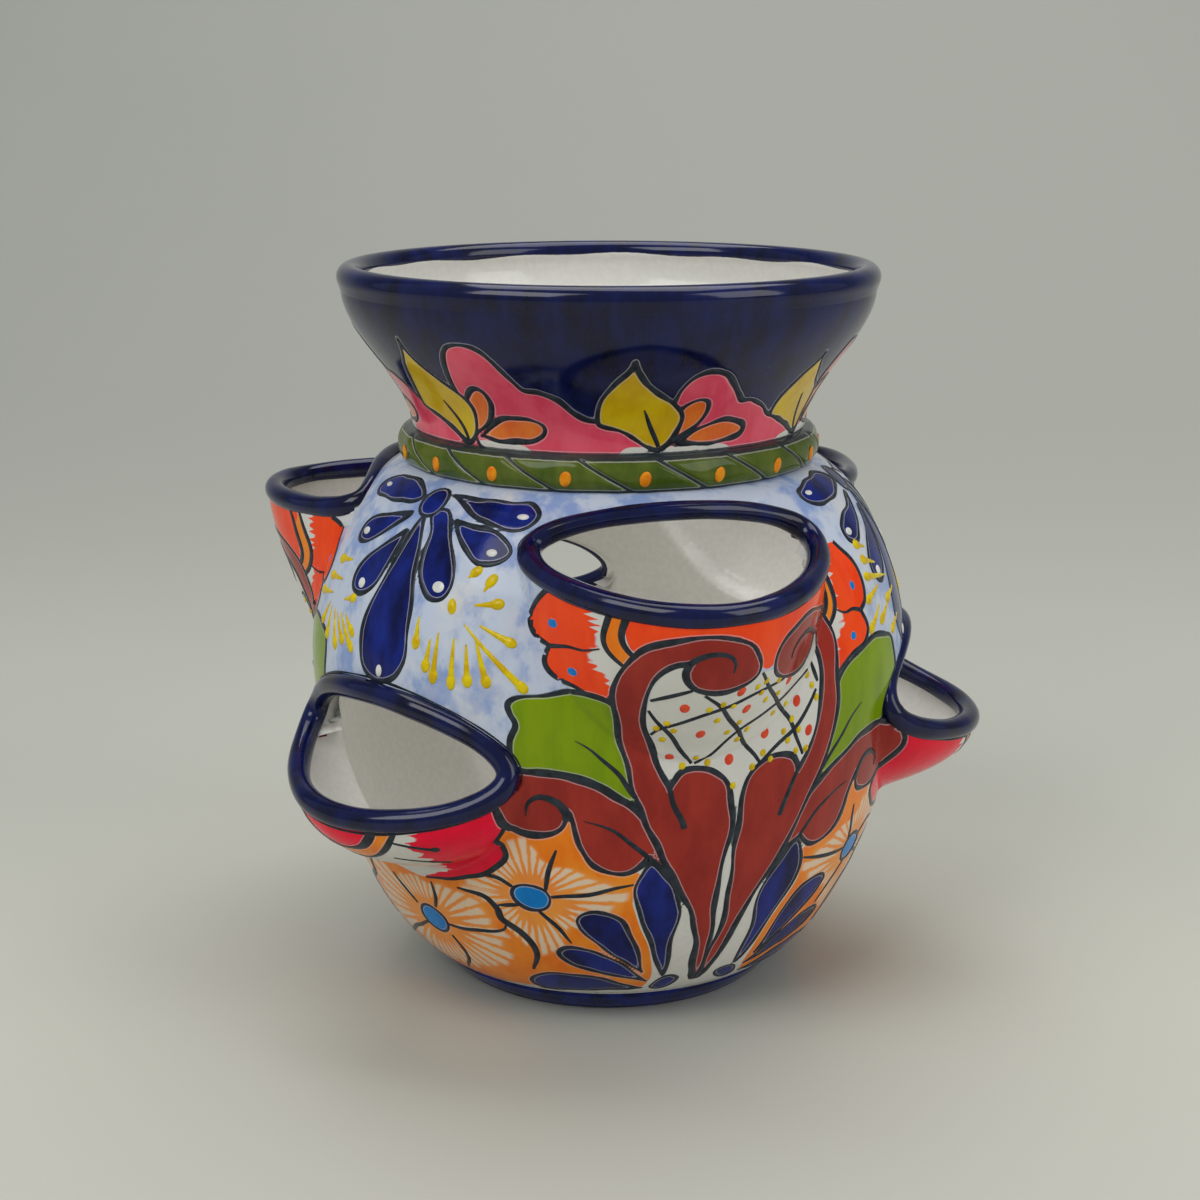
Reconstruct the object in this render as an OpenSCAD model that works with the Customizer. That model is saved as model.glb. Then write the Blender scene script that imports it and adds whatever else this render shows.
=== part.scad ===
// Strawberry jar planter: a round glazed clay jar with a flared collar and six
// pockets, three high and three low, each closed by a rolled clay lip.
// It stands on its base disc. +Z is up, and the origin is the centre of the
// drain hole in the face it stands on. Sizes are in millimetres.
// The jar is built up from pieces of clay: a base disc, a body, a collar, a rope
// of clay round the joint between them, a rolled rim, six pocket walls and six
// rolled lips. Each is a separate solid that seats on its neighbours.

/* [Base disc] */
// Radius of the face that the jar stands on
foot_r = 66; // [55:1:75]
// Thickness of the base disc
base_h = 10; // [8:0.5:16]
// Radius of the drain hole
drain_r = 6; // [3:0.5:12]

/* [Jar body] */
// Greatest radius of the body
belly_r = 118; // [110:0.5:130]
// Height of the widest place above the floor
belly_z = 130; // [124:1:138]
// Wall thickness of the body
body_wall = 7; // [5:0.5:9]
// Height at which the curve of the lower half would reach the foot's radius
heel_z = 7; // [2:0.5:7.5]
// How full the lower half is, from 1, a cone, upwards
lower_fullness = 1.75; // [1.4:0.05:2]
// How full the shoulder is, from 1, a cone, upwards
shoulder_fullness = 1.74; // [1.5:0.02:1.9]

/* [Neck and collar] */
// Outer radius of the straight neck
neck_r = 76.5; // [72:0.5:80]
// Height at which the shoulder ends and the neck starts
neck_z = 206; // [204:0.5:212]
// Height of the neck below its joint with the collar
neck_stub = 6; // [3:0.5:9]
// Height of the straight foot of the collar above that joint
collar_foot = 7; // [4:0.5:10]
// Height of the flared part of the collar
flare_h = 53; // [35:1:75]
// Outer radius of the collar under its rim
collar_r = 102.5; // [90:0.5:115]
// Wall thickness of the collar
collar_wall = 7; // [5:0.5:9]

/* [Rolled rim] */
// Radius of the roll of clay round the mouth
rim_roll_r = 4.9; // [4.2:0.1:7]
// How far the roll is sunk onto the edge of the collar
rim_sink = 1.1; // [0.5:0.1:2.5]

/* [Rope band] */
// Height of the rope of clay round the neck
rope_h = 14; // [10:0.5:20]
// How far the rope stands out from the neck
rope_out = 5.6; // [3:0.1:8]
// Number of strands seen round the rope
rope_strands = 18; // [12:1:24]
// Depth of the valley between two strands
rope_valley = 0.9; // [0.2:0.1:1.4]
// How far a strand leans between the middle and an edge of the rope, in strands
rope_lean = 0.36; // [0:0.02:1]
// Turn of the rope about the jar's axis
rope_turn = 9; // [0:1:20]

/* [Pockets] */
// Wall thickness of a pocket
pocket_wall = 6; // [4:0.5:8]
// Radius of the roll of clay along a pocket's mouth
lip_roll_r = 4.4; // [4:0.1:5]
// How far the roll's middle stands off the body at the corners of a mouth
lip_proud = 2.8; // [2.4:0.1:3.2]
// Turn of all the pockets about the jar's axis
pockets_turn = -75; // [-180:1:180]
// How far the second upper pocket strays from its even place round the jar
upper_stray_2 = 8; // [0:0.5:8]
// How far the third upper pocket strays
upper_stray_3 = -5; // [-6:0.5:0]
// How far the second lower pocket strays
lower_stray_2 = 16; // [0:0.5:16]
// How far the third lower pocket strays
lower_stray_3 = 11.5; // [0:0.5:12]

/* [Upper pockets] */
// Half the width of an upper mouth, to the middle of its roll
upper_half_w = 52.5; // [44:0.5:56]
// Distance of an upper lip from the jar's axis
upper_reach = 143.5; // [132:0.5:155]
// Height of the top of an upper mouth
upper_top_z = 201; // [199:0.5:202]
// Height of the corners of an upper mouth
upper_corner_z = 186.5; // [182:0.5:190]
// Height of an upper lip
upper_lip_z = 176.5; // [172:0.5:184]
// Height at which an upper pocket's wall leaves the body
upper_root_z = 122; // [110:1:135]
// How far an upper pocket's wall drops before it turns in
upper_drop = 18; // [10:1:26]
// How much higher the second and third upper lips sit than the first
upper_rise = 9; // [0:0.5:10]

/* [Lower pockets] */
// Half the width of a lower mouth, to the middle of its roll
lower_half_w = 55; // [44:0.5:58]
// Distance of a lower lip from the jar's axis
lower_reach = 141.5; // [132:0.5:155]
// Height of the top of a lower mouth
lower_top_z = 133; // [126:1:136]
// Height of the corners of a lower mouth
lower_corner_z = 110; // [104:1:114]
// Height of a lower lip
lower_lip_z = 93.5; // [88:0.5:100]
// Height at which a lower pocket's wall leaves the body
lower_root_z = 68; // [60:1:74]
// How far a lower pocket's wall drops before it turns in
lower_drop = 13; // [8:1:18]
// How much higher the second lower pocket sits than the first
lower_rise_2 = 6; // [0:0.5:8]
// How much higher the third lower pocket sits than the first
lower_rise_3 = 20; // [10:0.5:20]
// How much farther the second lower lip reaches than the others
lower_reach_more = 4.5; // [0:0.5:6]

/* [Detail] */
// Facets round the jar
round_steps = 120; // [72:12:180]
// Points along a mouth
mouth_steps = 32; // [24:4:48]
// Sides of a rolled lip
roll_sides = 8; // [6:1:10]

/* [Hidden] */

cobalt = [0.06, 0.07, 0.30];
glaze_white = [0.93, 0.93, 0.92];
glaze_blue = [0.62, 0.70, 0.86];
rope_green = [0.25, 0.33, 0.12];
coral = [0.93, 0.32, 0.16];
crimson = [0.85, 0.10, 0.22];

profile_steps = 14;             // points along each curved stretch of a profile
wall_steps = 4;                 // rings down a pocket's wall
rope_steps = 5;                 // columns of facets in one strand of the rope
rope_rows = 6;                  // rows of facets up the rope
through = 4;                    // how far a cutter runs past what it cuts
corner_run = 0.3;               // how far down the mouth its wall grows to full thickness
pocket_pitch = 360 / 3;         // angle from one pocket to the next in its row
row_stagger = pocket_pitch / 2; // the lower row stands between the upper one
upper_turns = [0, pocket_pitch + upper_stray_2, 2 * pocket_pitch + upper_stray_3];
lower_turns = [0, pocket_pitch + lower_stray_2, 2 * pocket_pitch + lower_stray_3];
upper_lift = [0, upper_rise, upper_rise];
lower_lift = [0, lower_rise_2, lower_rise_3];
lower_reaches = [lower_reach, lower_reach + lower_reach_more, lower_reach];

joint_z = neck_z + neck_stub;
collar_foot_z = joint_z + collar_foot;
collar_top_z = collar_foot_z + flare_h;
neck_wall = min(body_wall, collar_wall);

// ---- Curves -------------------------------------------------------------

// A superellipse quarter: 1 at t = 0, falling to 0 at t = 1
function swell(t, fullness) =
    pow(max(0, 1 - pow(min(1, max(0, t)), fullness)), 1 / fullness);

// An S-shaped step from 0 to 1
function s_step(t) = t * t * (3 - 2 * t);

// Outer radius of the body at a height
function body_r(z) =
    z < belly_z
        ? foot_r + (belly_r - foot_r) * swell((belly_z - z) / (belly_z - heel_z), lower_fullness)
        : neck_r + (belly_r - neck_r) * swell((z - belly_z) / (neck_z - belly_z), shoulder_fullness);

// Outer radius of the collar at a height
function collar_out_r(z) =
    neck_r + (collar_r - neck_r) * s_step(min(1, max(0, (z - collar_foot_z) / flare_h)));

// The heights of a profile's points are closer together towards its ends
function eased(i, n) = (1 - cos(180 * i / n)) / 2;
function body_heights() = concat(
    [for (i = [0:profile_steps - 1]) base_h + (belly_z - base_h) * eased(i, profile_steps)],
    [for (i = [0:profile_steps]) belly_z + (neck_z - belly_z) * eased(i, profile_steps)]
);
function collar_heights() =
    [for (i = [0:profile_steps]) collar_foot_z + flare_h * eased(i, profile_steps)];

// Points from first to last of a list, the other way round
function reversed(list) = [for (i = [len(list) - 1:-1:0]) list[i]];

// ---- Pockets ------------------------------------------------------------

// What sets one pocket: its angle, the half width of its mouth, the heights of
// the mouth's top, corners and lip, its reach, the height of its root, its drop
function upper_pocket(i) = [
    pockets_turn + upper_turns[i], upper_half_w, upper_top_z,
    upper_corner_z + upper_lift[i] / 4, upper_lip_z + upper_lift[i],
    upper_reach, upper_root_z, upper_drop
];
function lower_pocket(i) = [
    pockets_turn - row_stagger + lower_turns[i], lower_half_w, lower_top_z + lower_lift[i],
    lower_corner_z + lower_lift[i], lower_lip_z + lower_lift[i],
    lower_reaches[i], lower_root_z + lower_lift[i], lower_drop
];

// A smooth closed wave through a corner, a top and a lip value, with the
// corners at 0 and 180 degrees, the top at 90 and the lip at 270
function wave(a, corner, top, lip) =
    let (mean = (corner + (top + lip) / 2) / 2)
    mean + (top - lip) / 2 * sin(a) + (corner - mean) * cos(2 * a);

// A point on a pocket's mouth, a distance in from the middle of its roll:
// [away from the jar's axis, sideways, up]
function mouth_point(p, a, inset) =
    let (
        corner_r = sqrt(pow(body_r(p[3]) + lip_proud, 2) - pow(p[1], 2)),
        top_r = body_r(p[2]) + lip_proud / 2,
        run_out = p[5] - top_r,
        run_down = p[2] - p[4],
        run = norm([run_out, run_down])
    )
    [
        wave(a, corner_r, top_r + inset * run_out / run, p[5] - inset * run_out / run),
        (p[1] - inset) * cos(a),
        wave(a, p[3], p[2] - inset * run_down / run, p[4] + inset * run_down / run)
    ];

// How far down the mouth's edge a place is: 0 at the corners, 1 at the lip
function lipness(a) = max(0, -sin(a));

// Where a pocket's wall meets the body
function root_point(p, a, inset) =
    let (
        side = (p[1] - inset) * cos(a),
        z = p[3] - (p[3] - p[6] - inset) * lipness(a)
    )
    [sqrt(pow(body_r(z), 2) - pow(side, 2)), side, z];

// The place that a pocket's wall heads for as it leaves the lip
function turn_point(p, a, inset) =
    mouth_point(p, a, inset) - [0, 0, (p[7] - inset / 2) * lipness(a)];

function quadratic(a, b, c, t) =
    (1 - t) * (1 - t) * a + 2 * t * (1 - t) * b + t * t * c;

// How much of its full thickness a wall has reached, a way down from the corners
function grown(a) = min(1, lipness(a) / corner_run);

// A point of a pocket's form, from the mouth, v = 0, to the root, v = 1. Its
// lower half follows the wall and then sinks into the body. Next to the corners
// it thins out under the roll of the lip, and its upper half is inside the jar.
function form_point(p, a, v) =
    let (inset = -pocket_wall / 2 * grown(a), tuck = 4 * body_wall * (1 - grown(a)))
    lipness(a) > 0.001
        ? quadratic(
            mouth_point(p, a, inset), turn_point(p, a, inset), root_point(p, a, inset), v
        ) - [tuck + body_wall / 2 * v * v, 0, 0]
        : mouth_point(p, a, inset) - [tuck + body_wall / 2 * v, 0, 0];

// A point of a pocket's hollow, which runs on through the body's wall
function hollow_point(p, a, v) =
    let (inset = pocket_wall / 2, depth = 3 * body_wall)
    lipness(a) > 0.001
        ? quadratic(
            mouth_point(p, a, inset), turn_point(p, a, inset), root_point(p, a, inset), v
        ) - [depth * v * v, 0, 0]
        : mouth_point(p, a, inset) - [depth * v, 0, 0];

function to_jar(p, q) = [
    q[0] * cos(p[0]) - q[1] * sin(p[0]),
    q[0] * sin(p[0]) + q[1] * cos(p[0]),
    q[2]
];

function mean_of(ring) = [for (i = [0:2]) [for (q = ring) q[i]] * [for (q = ring) 1] / len(ring)];

// Triangles of a closed skin over a list of rings that all have n points, with
// a fan over each end
function ring_faces(rings, n) = concat(
    [for (k = [0:rings - 2], i = [0:n - 1]) [k * n + i, k * n + (i + 1) % n, (k + 1) * n + i]],
    [
        for (k = [0:rings - 2], i = [0:n - 1])
            [k * n + (i + 1) % n, (k + 1) * n + (i + 1) % n, (k + 1) * n + i]
    ],
    [for (i = [0:n - 1]) [rings * n, (i + 1) % n, i]],
    [for (i = [0:n - 1]) [rings * n + 1, (rings - 1) * n + i, (rings - 1) * n + (i + 1) % n]]
);

module closed_skin(rings) {
    n = len(rings[0]);
    points = concat(
        [for (ring = rings) each ring],
        [mean_of(rings[0]), mean_of(rings[len(rings) - 1])]
    );
    polyhedron(points, ring_faces(len(rings), n));
}

// The angles of the points round a mouth
function mouth_turns() = [for (i = [0:mouth_steps - 1]) 360 * i / mouth_steps];

// The outside of a pocket as a closed form that reaches into the body's wall
module pocket_form(p) {
    closed_skin([
        for (k = [0:wall_steps])
            [for (a = mouth_turns()) to_jar(p, form_point(p, a, k / wall_steps))]
    ]);
}

// The hollow of a pocket, from outside its mouth to inside the jar
module pocket_hollow(p) {
    over_mouth = [
        for (a = mouth_turns())
            to_jar(p, hollow_point(p, a, 0) + [pocket_wall, 0, 2 * pocket_wall])
    ];
    closed_skin(concat([over_mouth], [
        for (k = [0:wall_steps])
            [for (a = mouth_turns()) to_jar(p, hollow_point(p, a, k / wall_steps))]
    ]));
}

// The body without its hollow, which trims whatever is stuck on it
module body_outside() {
    heights = body_heights();
    rotate_extrude($fn = round_steps)
        polygon(concat([[0, base_h]], [for (z = heights) [body_r(z), z]], [[0, neck_z]]));
}

// A pocket's wall, which stands on the body and ends in the roll of its lip
module pocket_clay(p) {
    difference() {
        pocket_form(p);
        body_outside();
        pocket_hollow(p);
        lip_roll(p);
    }
}

// A roll of clay along a pocket's mouth
module lip_roll(p) {
    n = mouth_steps;
    middle = [for (a = mouth_turns()) to_jar(p, mouth_point(p, a, 0))];
    points = [
        for (i = [0:n - 1])
            let (
                ahead = middle[(i + 1) % n] - middle[(i + n - 1) % n],
                along = ahead / norm(ahead),
                out_raw = [middle[i][0], middle[i][1], 0] / norm([middle[i][0], middle[i][1]]),
                out_flat = out_raw - along * (out_raw * along),
                out = out_flat / norm(out_flat),
                over = cross(along, out)
            )
            for (k = [0:roll_sides - 1])
                middle[i] + lip_roll_r * (cos(360 * k / roll_sides) * out
                                          + sin(360 * k / roll_sides) * over)
    ];
    function at(i, k) = (i % n) * roll_sides + k % roll_sides;
    polyhedron(points, [
        for (i = [0:n - 1], k = [0:roll_sides - 1])
            each [
                [at(i, k), at(i + 1, k), at(i, k + 1)],
                [at(i + 1, k), at(i + 1, k + 1), at(i, k + 1)]
            ]
    ]);
}

// The lip: its roll, flattened where it lies on the body
module lip_clay(p) {
    difference() {
        lip_roll(p);
        body_outside();
    }
}

// ---- Sub-parts ----------------------------------------------------------

module base_disc() {
    color(cobalt)
    difference() {
        cylinder(h = base_h, r1 = foot_r, r2 = body_r(base_h), $fn = round_steps);
        translate([0, 0, -through])
            cylinder(h = base_h + 2 * through, r = drain_r, $fn = 48);
    }
}

module jar_body() {
    heights = body_heights();
    color(glaze_blue)
    difference() {
        rotate_extrude($fn = round_steps)
            polygon(concat(
                [for (z = heights) [body_r(z), z]],
                [[neck_r, joint_z], [neck_r - neck_wall, joint_z]],
                [for (z = reversed(heights)) [body_r(z) - body_wall, z]]
            ));
        for (i = [0:2]) {
            pocket_hollow(upper_pocket(i));
            pocket_hollow(lower_pocket(i));
        }
    }
}

module rope_band() {
    columns = rope_strands * rope_steps;
    rows = rope_rows;
    function rope_point(c, k) =
        let (
            up = -cos(180 * k / rows),
            turn = rope_turn + 360 * c / columns,
            strand = c / rope_steps + rope_lean * up,
            valley = rope_valley * (1 - abs(sin(180 * strand))) * (1 - up * up),
            r = neck_r + rope_out * swell(abs(up), 2) - valley
        )
        [r * cos(turn), r * sin(turn), joint_z + rope_h / 2 * up];
    function at(c, k) = (c % columns) * (rows + 1) + k;
    color(rope_green)
    polyhedron(
        [for (c = [0:columns - 1], k = [0:rows]) rope_point(c, k)],
        [
            for (c = [0:columns - 1])
                each concat(
                    [for (k = [0:rows - 1]) each [
                        [at(c, k), at(c, k + 1), at(c + 1, k)],
                        [at(c + 1, k), at(c, k + 1), at(c + 1, k + 1)]
                    ]],
                    [
                        [at(c, 0), at(c + 1, 0), at(c, rows)],
                        [at(c + 1, 0), at(c + 1, rows), at(c, rows)]
                    ]
                )
        ]
    );
}

module collar() {
    heights = collar_heights();
    color(cobalt)
    rotate_extrude($fn = round_steps)
        polygon(concat(
            [[neck_r - neck_wall, joint_z], [neck_r, joint_z]],
            [for (z = heights) [collar_out_r(z), z]],
            [for (z = reversed(heights)) [collar_out_r(z) - collar_wall, z]]
        ));
}

module upper_wall(i) {
    color(coral) pocket_clay(upper_pocket(i));
}

module lower_wall(i) {
    color(crimson) pocket_clay(lower_pocket(i));
}

module upper_lip(i) {
    color(cobalt) lip_clay(upper_pocket(i));
}

module lower_lip(i) {
    color(cobalt) lip_clay(lower_pocket(i));
}

module mouth_rim() {
    roll_z = collar_top_z + rim_roll_r - rim_sink;
    color(cobalt)
    rotate_extrude($fn = round_steps)
        intersection() {
            translate([collar_r - collar_wall / 2, roll_z])
                circle(r = rim_roll_r, $fn = 48);
            translate([collar_r - collar_wall / 2 - rim_roll_r, collar_top_z])
                square([2 * rim_roll_r, 2 * rim_roll_r]);
        }
}

base_disc();
jar_body();
rope_band();
collar();
mouth_rim();
upper_wall(0);  // upper_pocket_1
upper_wall(1);  // upper_pocket_2
upper_wall(2);  // upper_pocket_3
lower_wall(0);  // lower_pocket_1
lower_wall(1);  // lower_pocket_2
lower_wall(2);  // lower_pocket_3
upper_lip(0);  // upper_lip_1
upper_lip(1);  // upper_lip_2
upper_lip(2);  // upper_lip_3
lower_lip(0);  // lower_lip_1
lower_lip(1);  // lower_lip_2
lower_lip(2);  // lower_lip_3
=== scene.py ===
"""The looks of a hand-painted strawberry jar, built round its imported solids.

Sizes are in millimetres and degrees in the jar's own frame. Its axis is +Z and it
stands on z = 0. Azimuth 0 is +X, and the camera looks at it from azimuth -90. A
painted shape is an outline of (degrees from the middle of its group, height).
"""
import math

import bpy
import numpy as np
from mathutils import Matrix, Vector


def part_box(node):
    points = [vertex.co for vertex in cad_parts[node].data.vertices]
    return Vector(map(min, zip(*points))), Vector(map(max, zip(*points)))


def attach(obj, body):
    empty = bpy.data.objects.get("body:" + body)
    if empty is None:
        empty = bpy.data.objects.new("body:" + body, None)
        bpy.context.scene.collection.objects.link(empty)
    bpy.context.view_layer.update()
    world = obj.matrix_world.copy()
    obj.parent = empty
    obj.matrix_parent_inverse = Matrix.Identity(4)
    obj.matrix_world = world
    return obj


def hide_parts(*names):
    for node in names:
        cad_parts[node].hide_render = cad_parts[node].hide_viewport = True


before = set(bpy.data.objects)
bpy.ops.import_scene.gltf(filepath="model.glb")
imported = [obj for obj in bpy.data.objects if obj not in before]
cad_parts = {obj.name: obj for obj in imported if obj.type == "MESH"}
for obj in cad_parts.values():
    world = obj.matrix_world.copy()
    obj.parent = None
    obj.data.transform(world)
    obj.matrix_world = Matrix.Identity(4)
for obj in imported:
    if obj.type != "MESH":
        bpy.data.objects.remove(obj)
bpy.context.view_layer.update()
MM = 0.001


def across(node):
    """Half the width of a solid, in millimetres."""
    low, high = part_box(node)
    return (high.x - low.x) / 2 / MM


def height_of(node):
    """The lowest and the highest point of a solid, in millimetres."""
    low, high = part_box(node)
    return low.z / MM, high.z / MM


# ---- Sizes of the clay ------------------------------------------------------

FOOT_R = 66.0
BASE_H = height_of("base_disc")[1]
DRAIN_R = 6.0
BELLY_R = across("jar_body")
BELLY_Z = 130.0
HEEL_Z = 7.0
WALL = 7.0
LOWER_FULLNESS = 1.75
SHOULDER_FULLNESS = 1.74
NECK_R = 76.5
NECK_Z = 206.0
ROPE_LOW, ROPE_HIGH = height_of("rope_band")
ROPE_OUT = across("rope_band") - NECK_R
ROPE_STRANDS = 18
ROPE_LEAN = 0.42
ROPE_TURN = 9.0
FLARE_LOW = 219.0
FLARE_HIGH = height_of("collar")[1]
COLLAR_R = across("collar")
RIM_ROLL_R = 4.9
RIM_R = across("mouth_rim") - RIM_ROLL_R
RIM_TOP = height_of("mouth_rim")[1]
RIM_BLEND = 11.0
POCKET_WALL = 6.0
LIP_ROLL_R = 4.4
LIP_PROUD = 2.8
# Azimuths and rises of the pockets, and how much thinner each roll is at the top
UPPER_TURNS = (-75.0, 53.0, 160.0)
UPPER_RISES = (0.0, 9.0, 9.0)
LOWER_TURNS = (-135.0, 1.0, 116.5)
LOWER_RISES = (0.0, 6.0, 20.0)
LOWER_REACHES = (141.5, 146.0, 141.5)
LIP_THINS = (0.2, 0.15, 0.0, 0.0, 0.5, 0.2)
FILLET = 4.0
# How far inside a mouth's line the painted and the inner skin are cut
OUTER_CUT = -2.0
INNER_CUT = 1.5

# How dense the modelled skins are
COARSE = 1
TURN_STEPS = 600 // COARSE
BODY_ROWS = 190 // COARSE
COLLAR_ROWS = 56 // COARSE
INNER_STEPS = 360 // COARSE
INNER_ROWS = 130 // COARSE


def upper_pocket(azimuth, rise):
    """What sets one upper pocket, named as in the jar's solids."""
    return dict(azimuth=azimuth, half_w=52.5, top=201.0, corner=186.5 + rise / 4,
                lip=176.5 + rise, reach=143.5, root=122.0, drop=18.0)


def lower_pocket(azimuth, rise, reach):
    return dict(azimuth=azimuth, half_w=55.0, top=133.0 + rise, corner=110.0 + rise,
                lip=93.5 + rise, reach=reach, root=68.0 + rise, drop=13.0)


POCKETS = [*map(upper_pocket, UPPER_TURNS, UPPER_RISES),
           *map(lower_pocket, LOWER_TURNS, LOWER_RISES, LOWER_REACHES)]
NODES = [f"{row}_pocket_{i}" for row in ("upper", "lower") for i in (1, 2, 3)]

# ---- The form of the jar ----------------------------------------------------


def swell(t, fullness):
    """A superellipse quarter, 1 at t = 0 and 0 at t = 1."""
    return np.clip(1 - np.clip(t, 0, 1) ** fullness, 0, 1) ** (1 / fullness)


def s_step(t):
    t = np.clip(t, 0, 1)
    return t * t * (3 - 2 * t)


def wrapped(degrees):
    return (degrees + 180) % 360 - 180


def unit(vectors):
    length = np.linalg.norm(vectors, axis=-1, keepdims=True)
    return vectors / np.maximum(length, 1e-9)


def ring_points(azimuth, z, radius):
    a = np.radians(azimuth)
    return np.stack([radius * np.cos(a), radius * np.sin(a), np.broadcast_to(z, radius.shape)], -1)


def body_r(z):
    """Outer radius of the thrown body at a height."""
    z = np.asarray(z, float)
    low = swell((BELLY_Z - z) / (BELLY_Z - HEEL_Z), LOWER_FULLNESS)
    high = swell((z - BELLY_Z) / (NECK_Z - BELLY_Z), SHOULDER_FULLNESS)
    return np.where(z < BELLY_Z, FOOT_R + (BELLY_R - FOOT_R) * low,
                    NECK_R + (BELLY_R - NECK_R) * high)


def collar_r(z):
    """Outer radius of the collar at a height."""
    t = (np.asarray(z, float) - FLARE_LOW) / (FLARE_HIGH - FLARE_LOW)
    return NECK_R + (COLLAR_R - NECK_R) * s_step(t)


def wave(sine, cosine2, corner, top, lip):
    """A smooth closed wave through a corner, a top and a lip value."""
    mean = (corner + (top + lip) / 2) / 2
    return mean + (top - lip) / 2 * sine + (corner - mean) * cosine2


def mouth(p, sine, cosine2, inset=0.0):
    """(distance from the axis, height) of a pocket's mouth where its turn has this
    sine and this cosine of twice the angle, a distance in from the roll's middle."""
    corner_r = math.sqrt((float(body_r(p["corner"])) + LIP_PROUD) ** 2 - p["half_w"] ** 2)
    top_r = float(body_r(p["top"])) + LIP_PROUD / 2
    out, down = p["reach"] - top_r, p["top"] - p["lip"]
    run = math.hypot(out, down)
    radial = wave(sine, cosine2, corner_r, top_r + inset * out / run,
                  p["reach"] - inset * out / run)
    up = wave(sine, cosine2, p["corner"], p["top"] - inset * down / run,
              p["lip"] + inset * down / run)
    return radial, up


def mouth_points(p, turns, inset=0.0):
    """Points of the mouth's edge as (distance from the axis, sideways, height)."""
    a = np.radians(turns)
    radial, up = mouth(p, np.sin(a), np.cos(2 * a), inset)
    return np.stack([radial, (p["half_w"] - inset) * np.cos(a), up], 1)


def to_jar(p, q):
    """Points given beside a pocket's own middle, in the jar's frame."""
    a = math.radians(p["azimuth"])
    return np.stack([q[:, 0] * math.cos(a) - q[:, 1] * math.sin(a),
                     q[:, 0] * math.sin(a) + q[:, 1] * math.cos(a), q[:, 2]], 1)


def wall_r(p, side, z, inset):
    """Distance from the axis, in the pocket's own direction, of its wall. Outside
    the wall it runs on under the body's surface."""
    half_w = p["half_w"] - inset
    cosine = np.clip(side / half_w, -1, 1)
    sine = np.sqrt(1 - cosine ** 2)
    mouth_r, mouth_z = mouth(p, -sine, 2 * cosine ** 2 - 1, inset)
    root_z = p["corner"] - (p["corner"] - p["root"] - inset) * sine
    root_r = np.sqrt(np.clip(body_r(root_z) ** 2 - side ** 2, 1, None))
    turn_z = mouth_z - (p["drop"] - inset / 2) * sine
    # The wall is a quadratic curve from the mouth by the turn to the root
    square = mouth_z - 2 * turn_z + root_z
    linear = 2 * (turn_z - mouth_z)
    rest = mouth_z - z
    flat = np.abs(square) < 1e-6
    safe = np.where(flat, 1, square)
    spread = np.sqrt(np.clip(linear ** 2 - 4 * square * rest, 0, None))
    first, second = (-linear - spread) / (2 * safe), (-linear + spread) / (2 * safe)
    v = np.where(linear + 2 * square * first <= 0, first, second)
    v = np.where(flat, -rest / np.where(np.abs(linear) < 1e-9, -1e-9, linear), v)
    v = np.clip(v, 0, 1)
    r = mouth_r * (1 - v ** 2) + root_r * v ** 2
    # Above the mouth's edge the wall soon falls away, and at once beside a corner
    over = np.clip(z - mouth_z, 0, None)
    falls = np.clip(over - 3 * np.sqrt(sine), 0, None)
    r = r - 1.2 * over - 9 * falls - 3 * np.clip(root_z - z, 0, None)
    return r - 3 * np.clip(np.abs(side) - half_w, 0, None)


def wall_out(p, away, z, base, inset):
    """Radius at which a pocket's wall stands in a direction, found by halving, or a
    radius under the base where it has not come out of the body."""
    half_w = p["half_w"] - inset
    sine, cosine = np.sin(away), np.cos(away)
    clear = np.abs(base * sine) >= half_w - 0.01
    start = wall_r(p, base * sine, z, inset) / cosine
    first = base
    last = np.maximum(np.minimum(half_w / np.maximum(np.abs(sine), 1e-6), 170.0), base)
    for _ in range(16):
        mid = (first + last) / 2
        inner = wall_r(p, mid * sine, z, inset) > mid * cosine
        first, last = np.where(inner, mid, first), np.where(inner, last, mid)
    return np.where(clear, base - 3 * FILLET, np.where(start > base, first, start))


def with_pockets(azimuth, z, base, inset):
    """The base radii with the pockets' walls blended on, and which pocket stands
    there, or -1."""
    out, owner = base.copy(), np.full(base.shape, -1)
    for k, p in enumerate(POCKETS):
        away = np.radians(wrapped(azimuth - p["azimuth"]))
        near = np.nonzero((np.abs(away) < 0.62) & (z > p["root"] - 25) & (z < p["top"] + 3))
        if not len(near[0]):
            continue
        bn = base[near]
        r = wall_out(p, away[near], z[near], bn, inset)
        blend = np.clip(FILLET - np.abs(r - bn), 0, None) ** 2 / (4 * FILLET)
        out[near] = np.maximum(out[near], np.maximum(bn, r) + blend)
        owner[tuple(axis[r > bn + 0.15] for axis in near)] = k
    return out, owner


def outer_r(azimuth, z):
    """Outer radius of the painted surface below the rope, or of the collar above."""
    azimuth, z = np.broadcast_arrays(np.asarray(azimuth, float), np.asarray(z, float))
    base = np.where(z > NECK_Z, collar_r(z), body_r(z))
    return with_pockets(azimuth, z, base, -POCKET_WALL / 2)[0]


def inner_base(z):
    """Inner radius of the body and of the neck, without the pockets."""
    return np.where(z > NECK_Z, NECK_R, body_r(z)) - WALL


def inner_r(azimuth, z):
    """Inner radius of the body and its pockets."""
    return with_pockets(azimuth, z, inner_base(z), POCKET_WALL / 2)[0]


def on_surface(azimuth, z):
    """Points on the painted surface."""
    return ring_points(azimuth, z, outer_r(azimuth, z))


def surface_frame(azimuth, z, surface=on_surface, step=0.3):
    """Points of a surface with its directions round, up and out."""
    here = surface(azimuth, z)
    round_ = unit(surface(azimuth + step, z) - here)
    out = unit(np.cross(round_, surface(azimuth, z + step) - here))
    return here, round_, np.cross(out, round_), out


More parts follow.
